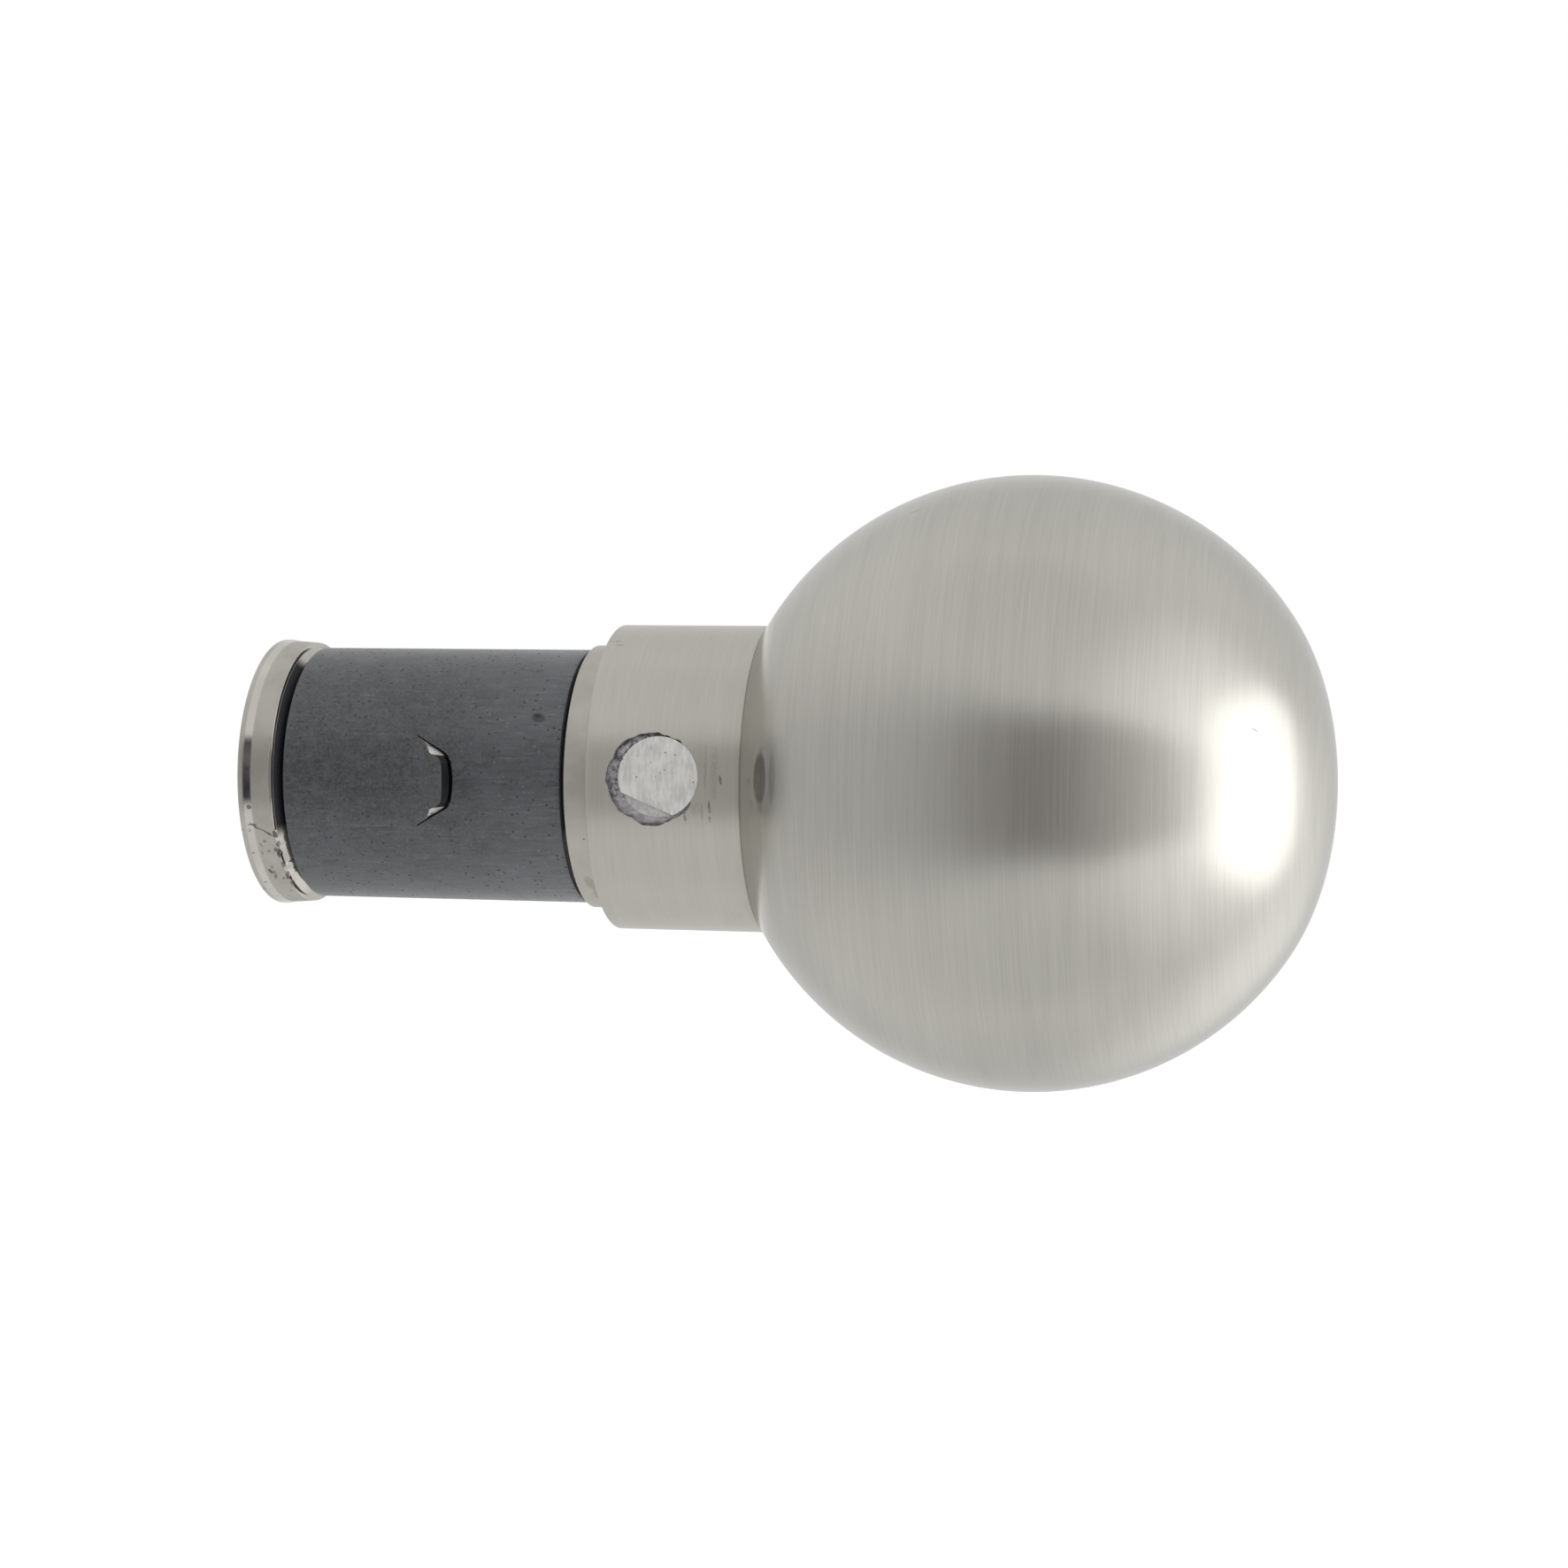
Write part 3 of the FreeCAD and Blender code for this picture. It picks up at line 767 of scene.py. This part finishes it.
# Bare steel for scratches, also painted as a highlight on the tongues' cut corners.
BARE_STEEL_AND_HIGHLIGHT = (0.74, 0.73, 0.7, 1)
BARE_ROUGHNESS = 0.5
MOTTLE_NOISE = (1100.0, 6.0, 0.7)
SPECKLE_NOISE = (5600.0, 3.0, 0.7)
SPECKLE_SHARE = 0.6
OXIDE_SPAN = (0.40, 0.62)
DRIFT_NOISE = (190.0, 3.0, 0.5)
DRIFT_SPAN = (0.25, 0.6, 0.4, 1.0)
RUBBED_FROM = 9 * MM
RUBBED_ALONG = (0.04, 0.7)
RUBBED_BELOW = (math.radians(-5), math.radians(-45), 0.0, 0.2)
RUB_NOISE = (4600.0, 4.0, 0.65)
RUB_STRETCH = (0.12, 1, 1)
RUB_PALE_SPAN = (0.52, 0.72)
RUB_DEEP_SPAN = (0.46, 0.29, 0.0, 0.85)
STREAKS_BY_RUBBING = (0.75, 0.2)
TINGE_NOISE = (750.0, 3.0, 0.6)
TINGE_SPAN = (0.48, 0.66, 0.0, 0.4)
SLEEVE_PORES = (2600.0, 0.33, 0.33)
SLEEVE_FLECKS = (3100.0, 0.32, 0.24)
FLECKS_BY_RUBBING = (0.8, 0.25)
PORE_HEIGHT = 0.016 * MM
MOTTLE_HEIGHT = 0.25
SPECKLE_HEIGHT = 0.5
DENT_DARKNESS = 0.55
SCRATCH_STRENGTH = 0.14
WALL_FACING = (0.94, 0.9)
BY_ROOT = (-0.2 * MM, 0)
BY_TIP = (0.3 * MM, 0.2 * MM)
HIGHLIGHT_FROM = 1.6 * MM
SLEEVE_DENTS = ((-3.78, 26.0, 0.46, 0.36, 0.2, 0.5), (-3.85, 26.8, 0.26, 0.16, 0.3, 0.85),
                (-3.9, 22.5, 0.1, 0.08, 0, 0.5), (-18.2, 24.0, 0.07, 0.07, 0, 0.8))
SLEEVE_SCRATCHES = ((-15.5, 37.0, 0.5, 0.05, -2.6, 0.5), (-15.2, 39.5, 0.35, 0.04, -2.2, 0.35),
                    (-8.3, 31.5, 0.3, 0.04, -1.0, 0.3), (-14.1, 17.3, 2.3, 0.05, 0.0, 0.3),
                    (-14.9, -24.2, 2.8, 0.06, 0.0, 0.3), (-13.2, -27.0, 1.6, 0.05, 0.0, 0.22))

sleeve_low, sleeve_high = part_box("spring_sleeve")
sleeve_start, sleeve_end = sleeve_low.x, sleeve_high.x
half_slit = math.asin(SLIT_WIDTH / 2 / SLEEVE_RADIUS)
half_strip = (math.pi - half_slit) * SLEEVE_RADIUS
tongue_root = TONGUE_TIP - TONGUE_LENGTH
tongue_turn = math.tau / TONGUE_COUNT
tongue_centres = [Vector((0, (number - TONGUE_COUNT // 2) * tongue_turn * SLEEVE_RADIUS, 0))
                  for number in range(TONGUE_COUNT)]

sleeve_work = bmesh.new()
bmesh.ops.create_grid(sleeve_work, x_segments=SLEEVE_ROWS, y_segments=SLEEVE_COLUMNS, size=1)
bmesh.ops.scale(sleeve_work, verts=sleeve_work.verts, vec=((sleeve_end - sleeve_start) / 2, half_strip, 1))
bmesh.ops.translate(sleeve_work, verts=sleeve_work.verts, vec=((sleeve_end + sleeve_start) / 2, 0, 0))

# Each cut is a point on the tongue's edge and the way that the edge faces, on the flat strip.
side_facing = math.atan2(TONGUE_LENGTH, TONGUE_ROOT_HALF - TONGUE_TIP_HALF)
corner_along = TONGUE_TIP - TONGUE_CORNER
side_out = Vector((math.cos(side_facing), math.sin(side_facing), 0))
corner_across = TONGUE_ROOT_HALF - (TONGUE_CORNER + side_out.x * (corner_along - tongue_root)) / side_out.y
tongue_cuts = []
for cut_number in range(-CORNER_CUTS, CORNER_CUTS + 1):
    facing = side_facing * cut_number / CORNER_CUTS
    out = Vector((math.cos(facing), math.sin(facing), 0))
    corner = Vector((corner_along, math.copysign(corner_across, cut_number), 0))
    tongue_cuts.append((corner + out * TONGUE_CORNER, out))


def past_cuts(spot):
    """How far a spot on the flat strip lies outside the tongue's edge, less than 0 inside it."""
    return max((spot - edge).dot(out) for edge, out in tongue_cuts)


def by_tongue(spot):
    """Whether a spot on the flat strip is level with a tongue and not far to its side."""
    return spot.x > tongue_root and abs(spot.y) < 2 * TONGUE_ROOT_HALF


def on_tongue(spot):
    """Whether a spot on the flat strip is on a tongue."""
    return by_tongue(spot) and past_cuts(spot) < LANCE_GAP / 4


def bent_up(along):
    """How far a tongue has been bent up at one place along it."""
    return TONGUE_RISE * (along - tongue_root) / TONGUE_LENGTH


def score(work, centre, edge, out):
    """Cuts a straight line into the part of the strip round one tongue."""
    def is_near(face):
        spot = face.calc_center_median() - centre
        along_near = tongue_root - LANCE_MARGIN < spot.x < TONGUE_TIP + LANCE_MARGIN
        return along_near and abs(spot.y) < TONGUE_ROOT_HALF + LANCE_MARGIN
    faces = [face for face in work.faces if is_near(face)]
    edges = {near_edge for face in faces for near_edge in face.edges}
    verts = {near_vert for face in faces for near_vert in face.verts}
    bmesh.ops.bisect_plane(work, geom=faces + list(edges) + list(verts), dist=TINY,
                           plane_co=centre + edge, plane_no=out)


for centre in tongue_centres:
    score(sleeve_work, centre, Vector((tongue_root, 0, 0)), Vector((1, 0, 0)))
    for edge, out in tongue_cuts:
        score(sleeve_work, centre, edge, out)
        score(sleeve_work, centre, edge + out * LANCE_GAP, out)
    kerf = []
    for face in sleeve_work.faces:
        spot = face.calc_center_median() - centre
        if by_tongue(spot) and 0 < past_cuts(spot) < LANCE_GAP:
            kerf.append(face)
    bmesh.ops.delete(sleeve_work, geom=kerf, context="FACES")
    for vert in sleeve_work.verts:
        spot = vert.co - centre
        if on_tongue(spot):
            to_side = min(abs(spot.y) / TONGUE_TIP_HALF, 1)
            vert.co.x -= TIP_BOW * (spot.x - tongue_root) / TONGUE_LENGTH * to_side ** 2
            vert.co.z += bent_up(vert.co.x)
        past_rim = (spot.x - TONGUE_TIP - LANCE_GAP + TOUCHING) / OPENING_FADE
        if 0 <= past_rim < 1 and abs(spot.y) < TONGUE_TIP_HALF:
            vert.co.x += TIP_OPENING * (1 - (spot.y / TONGUE_TIP_HALF) ** 2) * (1 - past_rim)
bmesh.ops.recalc_face_normals(sleeve_work, faces=sleeve_work.faces)
if sum(face.normal.z for face in sleeve_work.faces) < 0:
    bmesh.ops.reverse_faces(sleeve_work, faces=sleeve_work.faces)
bmesh.ops.solidify(sleeve_work, geom=sleeve_work.faces[:], thickness=SLEEVE_THICKNESS)
strip_face = max(vert.co.z for vert in sleeve_work.verts) - TONGUE_RISE

# Shearing has dragged the top edges of each tongue's tip and corners inwards.
for centre in tongue_centres:
    for vert in sleeve_work.verts:
        spot = Vector((vert.co.x, vert.co.y - centre.y, 0))
        off_top = abs(vert.co.z - strip_face - bent_up(spot.x))
        if off_top < SLEEVE_THICKNESS / 4 and on_tongue(spot):
            corner = Vector((corner_along, math.copysign(corner_across + CORNER_BACK.y, spot.y), 0))
            corner.x += CORNER_BACK.x
            dragged = max(1 - (spot - corner).length / CORNER_REACH, 0)
            dragged *= min((spot.x - tongue_root) / CORNER_REACH, 1)
            across = math.copysign(math.sin(side_facing / 2), spot.y)
            vert.co -= Vector((math.cos(side_facing / 2), across, 0)) * CORNER_SHEAR * dragged
            vert.co.x -= TIP_SHEAR * max(1 - (TONGUE_TIP - spot.x) / CORNER_REACH, 0)
            vert.co.z = strip_face + bent_up(vert.co.x)
outer_ends = []
for edge in sleeve_work.edges:
    middle = (edge.verts[0].co + edge.verts[1].co) / 2
    at_end = min(middle.x - sleeve_start, sleeve_end - middle.x) < TOUCHING
    level = all(abs(vert.co.z - strip_face) < TOUCHING for vert in edge.verts)
    if at_end and level and abs(edge.verts[0].co.x - edge.verts[1].co.x) < TINY:
        outer_ends.append(edge)
rounded(sleeve_work, outer_ends, END_ROUND)
for vert in sleeve_work.verts:
    rolled = vert.co.y / SLEEVE_RADIUS + SLEEVE_TURN
    off_axis = SLEEVE_RADIUS + vert.co.z - strip_face
    vert.co.y, vert.co.z = -off_axis * math.cos(rolled), off_axis * math.sin(rolled)
sleeve = finished_piece(sleeve_work, "finial_spring_sleeve", "spring_sleeve")

tree, shader, place = new_material("blued_sleeve", sleeve)
mottle = grain(tree, place["Point"], *MOTTLE_NOISE)
drift = grain(tree, place["Point"], *DRIFT_NOISE)
speckle = grain(tree, place["Point"], *SPECKLE_NOISE)
tinge = grain(tree, place["Point"], *TINGE_NOISE)
rub = grain(tree, vector_result(tree, "MULTIPLY", place["Point"], RUB_STRETCH), *RUB_NOISE)
shade = added_share(tree, speckle, SPECKLE_SHARE, product(tree, mottle, 1 - SPECKLE_SHARE))
colour = mixed(tree, between(tree, shade, *OXIDE_SPAN), OXIDE_DEEP, OXIDE_PALE)
rubbed = between(tree, place["Along"], sleeve_start + RUBBED_FROM, sleeve_end, *RUBBED_ALONG)
rubbed = reckon(tree, "ADD", rubbed, between(tree, place["Turn"], *RUBBED_BELOW))
rubbed = product(tree, rubbed, between(tree, drift, *DRIFT_SPAN))
colour = mixed(tree, rubbed, colour, OXIDE_RUBBED)
streak = product(
    tree, between(tree, rub, *RUB_PALE_SPAN), added_share(tree, rubbed, *STREAKS_BY_RUBBING))
colour = mixed(tree, streak, colour, OXIDE_STREAK)
colour = mixed(tree, between(tree, rub, *RUB_DEEP_SPAN), colour, OXIDE_PORE)
colour = mixed(tree, between(tree, tinge, *TINGE_SPAN), colour, OXIDE_TINGE)
flecks = product(tree, pitted(tree, place["Point"], *SLEEVE_FLECKS),
                 added_share(tree, rubbed, *FLECKS_BY_RUBBING))
colour = mixed(tree, flecks, colour, OXIDE_STREAK)
dents = deepest_marks(tree, place, SLEEVE_RADIUS, SLEEVE_DENTS)
pores = largest(tree, pitted(tree, place["Point"], *SLEEVE_PORES), dents)
colour = mixed(tree, pores, colour, OXIDE_PORE)

# The walls of the cuts are painted dark as shade at a tongue's tip, and painted bright as bare steel catching
# a highlight at its corners.
normal = add_node(tree, "NewGeometry").outputs["True Normal"]
facing = reckon(tree, "ABSOLUTE", vector_result(tree, "DOT_PRODUCT", normal, place["Round"]))
from_tongue = reckon(tree, "WRAP", reckon(tree, "SUBTRACT", place["Turn"], SLEEVE_TURN),
                     tongue_turn / 2, -tongue_turn / 2)
from_tongue = product(tree, reckon(tree, "ABSOLUTE", from_tongue), SLEEVE_RADIUS)
beside = between(tree, from_tongue, TONGUE_ROOT_HALF + 2 * EDGE_BREAK, TONGUE_ROOT_HALF + EDGE_BREAK)
shaded_cut_wall = product(
    tree, between(tree, facing, *WALL_FACING), past(tree, place, tongue_root, BY_ROOT),
    past(tree, place, TONGUE_TIP, BY_TIP), beside)
colour = mixed(tree, shaded_cut_wall, colour, CUT_SHADE)
scratches = product(
    tree, deepest_marks(tree, place, SLEEVE_RADIUS, SLEEVE_SCRATCHES), SCRATCH_STRENGTH)
highlit_corner = product(tree, shaded_cut_wall, between(tree, from_tongue, HIGHLIGHT_FROM, HIGHLIGHT_FROM + EDGE_BREAK))
bare_and_highlit = largest(tree, scratches, highlit_corner)
colour = mixed(tree, bare_and_highlit, colour, BARE_STEEL_AND_HIGHLIGHT)
rough = added_share(tree, mottle, MOTTLE_ROUGHNESS[0], OXIDE_ROUGHNESS - MOTTLE_ROUGHNESS[1])
rough = added_share(tree, pores, PORE_ROUGHNESS, rough)
height = added_share(tree, mottle, MOTTLE_HEIGHT, product(tree, pores, -1.0))
height = added_share(tree, speckle, SPECKLE_HEIGHT, height)
feed(tree, shader, {
    "Base Color": colour, "Metallic": largest(tree, bare_and_highlit, shaded_cut_wall, product(tree, dents, DENT_DARKNESS)),
    "Roughness": added_share(tree, bare_and_highlit, BARE_ROUGHNESS - OXIDE_ROUGHNESS, rough),
    "Normal": raised(tree, PORE_HEIGHT, height), "IOR": OXIDE_IOR})


# The cross pin: a soft bright-metal pin, driven through the collar into the tenon, with its end filed
# flush with the collar. A flake of that end has broken away at the lower left.
PIN_RINGS = 30
CHIP_CHORD = 1.82 * MM
CHIP_TURN = math.radians(23)
CHIP_DEPTH = 0.3 * MM
CHIP_WALL = 0.12 * MM
CHIP_STEPS = 0.1 * MM
CHIP_BUMPS = 1.6 / MM
PIN_UNEVEN = 0.03 * MM
PIN_BUMPS = 0.9 / MM
PIN_PALE = (0.87, 0.868, 0.843, 1)
PIN_DEEP = (0.71, 0.708, 0.688, 1)
PIN_PIT = (0.2, 0.19, 0.19, 1)
PIN_BROKEN = (0.72, 0.71, 0.7, 1)
PIN_RAW = (0.58, 0.57, 0.57, 1)
PIN_METAL = 1.0
PIN_ROUGHNESS = 0.72
FILED_NOISE = (5200.0, 3.0, 0.6)
FILED_STRETCH = (1, 1, 0.16)
FILED_SHARE = 0.5
FILED_SPAN = (0.36, 0.62)
FILE_HEIGHT = 0.012 * MM
FILED_DEPTH = 0.35
PIN_PIT_DEPTH = -1.5
BLOTCH_NOISE = (900.0, 3.0, 0.6)
BLOTCH_ROUGHNESS = 0.2
FILED_PITS = (1900.0, 0.2, 0.24)
FINE_PITS = (3300.0, 0.24, 0.13)
BROKEN_EDGE = (CHIP_CHORD - 0.02 * MM, CHIP_CHORD + 0.05 * MM)
CRUMB_NOISE = (3600.0, 3.0, 0.6)
CRUMB_SPAN = (0.35, 0.6)
SIDE_BELOW = (COLLAR_RADIUS - 0.1 * MM, COLLAR_RADIUS - 0.3 * MM)

pin_work = cross_disc(pin_centre, PIN_RADIUS, PIN_RINGS, -COLLAR_RADIUS, pin_high.y)
chip_out = Vector((-math.sin(CHIP_TURN), 0, -math.cos(CHIP_TURN)))
for chord in (CHIP_CHORD, CHIP_CHORD + CHIP_WALL):
    bmesh.ops.bisect_plane(pin_work, geom=all_of(pin_work), dist=TINY,
                           plane_co=pin_centre + chip_out * chord, plane_no=chip_out)
for vert in pin_work.verts:
    if vert.co.y < 0:
        past_chord = (vert.co - pin_centre).dot(chip_out) - CHIP_CHORD
        broken = min(max(past_chord / CHIP_WALL, 0), 1)
        stepped = CHIP_DEPTH + CHIP_STEPS * noise.noise(vert.co * CHIP_BUMPS)
        sunk = PIN_UNEVEN * abs(noise.noise(vert.co * PIN_BUMPS))
        vert.co.y = -math.sqrt(COLLAR_RADIUS ** 2 - vert.co.z ** 2) + sunk + broken * stepped
pin = finished_piece(pin_work, "finial_cross_pin", "cross_pin")

tree, shader, place = new_material("soft_pin", pin)
filed_place = vector_result(tree, "MULTIPLY", place["Point"], FILED_STRETCH)
filed = grain(tree, filed_place, *FILED_NOISE)
blotch = grain(tree, place["Point"], *BLOTCH_NOISE)
shade = added_share(tree, filed, FILED_SHARE, product(tree, blotch, 1 - FILED_SHARE))
colour = mixed(tree, between(tree, shade, *FILED_SPAN), PIN_DEEP, PIN_PALE)
pits = largest(
    tree, pitted(tree, filed_place, *FILED_PITS), pitted(tree, place["Point"], *FINE_PITS))
colour = mixed(tree, product(tree, pits, PIT_GRIME), colour, PIN_PIT)
past_chord = vector_result(
    tree, "DOT_PRODUCT", vector_result(tree, "SUBTRACT", place["Point"], pin_centre), chip_out)
broken = between(tree, past_chord, *BROKEN_EDGE)
crumbs = between(tree, grain(tree, place["Point"], *CRUMB_NOISE), *CRUMB_SPAN)
colour = mixed(tree, broken, colour, mixed(tree, crumbs, PIN_RAW, PIN_BROKEN))
# The pin's side below the collar's face, and the chip's wall, are painted dark as shade.
shaded_side_wall = product(
    tree, between(tree, place["Off Axis"], *SIDE_BELOW), reckon(tree, "SUBTRACT", 1.0, broken))
colour = mixed(tree, shaded_side_wall, colour, GRIME_AND_SHADE)
height = added_share(tree, filed, FILED_DEPTH, product(tree, pits, PIN_PIT_DEPTH))
feed(tree, shader, {
    "Base Color": colour, "Metallic": PIN_METAL, "Normal": raised(tree, FILE_HEIGHT, height),
    "Roughness": added_share(tree, blotch, BLOTCH_ROUGHNESS, PIN_ROUGHNESS - BLOTCH_ROUGHNESS / 2)})


# The studio: a pale floor in a bright, even room. The side that the camera works from is darker, and one
# soft window stands to the right with the light that it throws, as the reflections on the ball show.
FLOOR_SIZE = 3.0
FLOOR_DROP = -0.06
FLOOR_WHITE = (0.97, 0.97, 0.97, 1)
FLOOR_LIFT = 0.175
PLAIN_WHITE = (1, 1, 1, 1)
CAMERA_SIDE_SHADE = (0.575, 0.585, 0.585)
SHADE_CENTRE = -1.5
STEEP = (38.0, 75.0)
STEEP_LEVEL = 0.95
WINDOW_CENTRE = (97.5, -0.5)
WINDOW_HALF = (23.8, 25.0)
WINDOW_SQUARENESS = 3.6
WINDOW_EDGE = (1.3, 0.4)
WINDOW_LIGHT = 1.4
# The window's glow and the light that it throws: the way to each, its spread, its sharpness and its light.
SOFT_LIGHTS = ((Vector((0.927, -0.375, 0.0)).normalized(), 0.55, 1.0, 0.62),
               (Vector((0.55, 0.72, -0.42)).normalized(), 0.72, 2.0, 0.6))
BACKDROP_TOWARDS = Vector((-0.199, 0.98, 0)).normalized()
BACKDROP_EDGE = (0.72, 0.91)
# By the direction round the room in degrees: how dark the camera's side is, how high that shade reaches
# and how softly it ends, and how bright the room is.
SHADE_BY_AZIMUTH = ((-180, 0.0), (-140, 0.08), (-95, 0.33), (-51, 0.42), (-30, 0.55), (-14, 0.8), (7, 1.12),
                    (28, 1.0), (45, 0.82), (58, 0.64), (68, 0.4), (76, 0.12), (84, 0.0), (180, 0.0))
REACH_BY_AZIMUTH = ((-180, 24.0), (-50, 30.0), (-16, 29.0), (7, 26.0), (31, 26.0), (60, 16.5), (75, 11.0),
                    (180, 11.0))
SOFT_BY_AZIMUTH = ((-180, 22.0), (-50, 18.0), (-24, 14.0), (-14, 8.0), (7, 5.0), (35, 2.5), (180, 2.0))
LEVEL_BY_AZIMUTH = ((-180, 0.87), (-120, 0.95), (-80, 0.9), (-30, 0.86), (55, 0.85), (85, 0.95), (130, 0.97),
                    (180, 0.9))

floor_work = bmesh.new()
bmesh.ops.create_grid(floor_work, x_segments=1, y_segments=1, size=FLOOR_SIZE / 2)
bmesh.ops.translate(floor_work, verts=floor_work.verts, vec=(0, 0, FLOOR_DROP))
floor = linked_object(floor_work, "floor")
floor.visible_glossy = False
floor_material = bpy.data.materials.new("pale_floor")
tree = emptied_tree(floor_material)
matt = add_node(tree, "BsdfDiffuse", {"Color": FLOOR_WHITE}).outputs[0]
rays = add_node(tree, "LightPath").outputs
seen = largest(tree, rays["Is Camera Ray"], rays["Is Glossy Ray"], rays["Is Transmission Ray"])
lift = add_node(tree, "Emission", {
    "Color": FLOOR_WHITE, "Strength": product(tree, seen, FLOOR_LIFT)}).outputs[0]
pale = add_node(tree, "AddShader", {0: matt, 1: lift}).outputs[0]
add_node(tree, "OutputMaterial", {"Surface": pale})
floor.data.materials.append(floor_material)

world = bpy.data.worlds.new("bright_room")
bpy.context.scene.world = world
tree = emptied_tree(world)
direction = add_node(tree, "TexCoord").outputs["Generated"]
split = parts_of(tree, direction)
azimuth = reckon(tree, "DEGREES", reckon(tree, "ARCTAN2", split[0], product(tree, split[1], -1.0)))
elevation = reckon(tree, "DEGREES", reckon(tree, "ARCSINE", split[2]))


def by_azimuth(stops):
    """A curve of values round the room, each given with its azimuth in degrees."""
    most = max(value for degrees, value in stops)
    ramp = add_node(tree, "ValToRGB", {0: added_share(tree, azimuth, 1 / 360, 0.5)})
    ramp.color_ramp.interpolation = "LINEAR"
    elements = ramp.color_ramp.elements
    while len(elements) < len(stops):
        elements.new(0.5)
    for element, (degrees, value) in zip(elements, stops):
        element.position = degrees / 360 + 0.5
        element.color = (value / most, value / most, value / most, 1)
    return product(tree, ramp.outputs["Color"], most)


off_centre = reckon(tree, "ABSOLUTE", reckon(tree, "SUBTRACT", elevation, SHADE_CENTRE))
past_reach = reckon(tree, "SUBTRACT", off_centre, by_azimuth(REACH_BY_AZIMUTH))
soft = by_azimuth(SOFT_BY_AZIMUTH)
shade = product(tree, by_azimuth(SHADE_BY_AZIMUTH),
                between(tree, past_reach, soft, product(tree, soft, -1.0)))
steep = between(tree, reckon(tree, "ABSOLUTE", elevation), *STEEP, 1.0, STEEP_LEVEL)
off_window = 0.0
for angle, centre_angle, half in zip((azimuth, elevation), WINDOW_CENTRE, WINDOW_HALF):
    share = reckon(tree, "DIVIDE", reckon(tree, "SUBTRACT", angle, centre_angle), half)
    share = reckon(tree, "POWER", reckon(tree, "ABSOLUTE", share), WINDOW_SQUARENESS)
    off_window = reckon(tree, "ADD", off_window, share)
window = between(tree, off_window, *WINDOW_EDGE, 0.0, WINDOW_LIGHT)
lights = reckon(tree, "ADD", product(tree, by_azimuth(LEVEL_BY_AZIMUTH), steep), window)
for towards, spread, sharpness, light in SOFT_LIGHTS:
    share = add_node(tree, "MapRange", {
        "Value": vector_result(tree, "DOT_PRODUCT", direction, towards), "From Min": spread,
        "From Max": 1.0}).outputs["Result"]
    lights = added_share(tree, reckon(tree, "POWER", share, sharpness), light, lights)
shaded = vector_result(tree, "SCALE", CAMERA_SIDE_SHADE, scale=shade)
room = vector_result(tree, "SCALE", vector_result(tree, "SUBTRACT", (1, 1, 1), shaded), scale=lights)
room_light = add_node(tree, "Background", {"Color": room, "Strength": 1.0}).outputs[0]
plain = add_node(tree, "Background", {"Color": PLAIN_WHITE, "Strength": 1.0}).outputs[0]
rays = add_node(tree, "LightPath").outputs
behind = vector_result(tree, "DOT_PRODUCT", direction, BACKDROP_TOWARDS)
mirrored = product(tree, largest(tree, rays["Is Glossy Ray"], rays["Is Transmission Ray"]),
                   between(tree, behind, *BACKDROP_EDGE))
seen = largest(tree, rays["Is Camera Ray"], mirrored)
either = add_node(tree, "MixShader", {0: seen, 1: room_light, 2: plain}).outputs[0]
add_node(tree, "OutputWorld", {"Surface": either})


# The camera stands in front of the collar's side of the ball, level with the axis and turned a little
# back along it, with a long lens.
CAMERA_PLACE = (0.04917, -0.18886, -0.0003)
CAMERA_TURN = (90.0, -0.975, 11.5)
CAMERA_LENS = 67.79
SENSOR_WIDTH = 36.0
NEAREST = 0.01

camera_data = bpy.data.cameras.new("camera")
camera_data.lens = CAMERA_LENS
camera_data.sensor_width = SENSOR_WIDTH
camera_data.clip_start = NEAREST
camera = bpy.data.objects.new("camera", camera_data)
camera.location = CAMERA_PLACE
camera.rotation_euler = [math.radians(degrees) for degrees in CAMERA_TURN]
bpy.context.scene.collection.objects.link(camera)
bpy.context.scene.camera = camera
bpy.context.scene.view_settings.view_transform = "Standard"
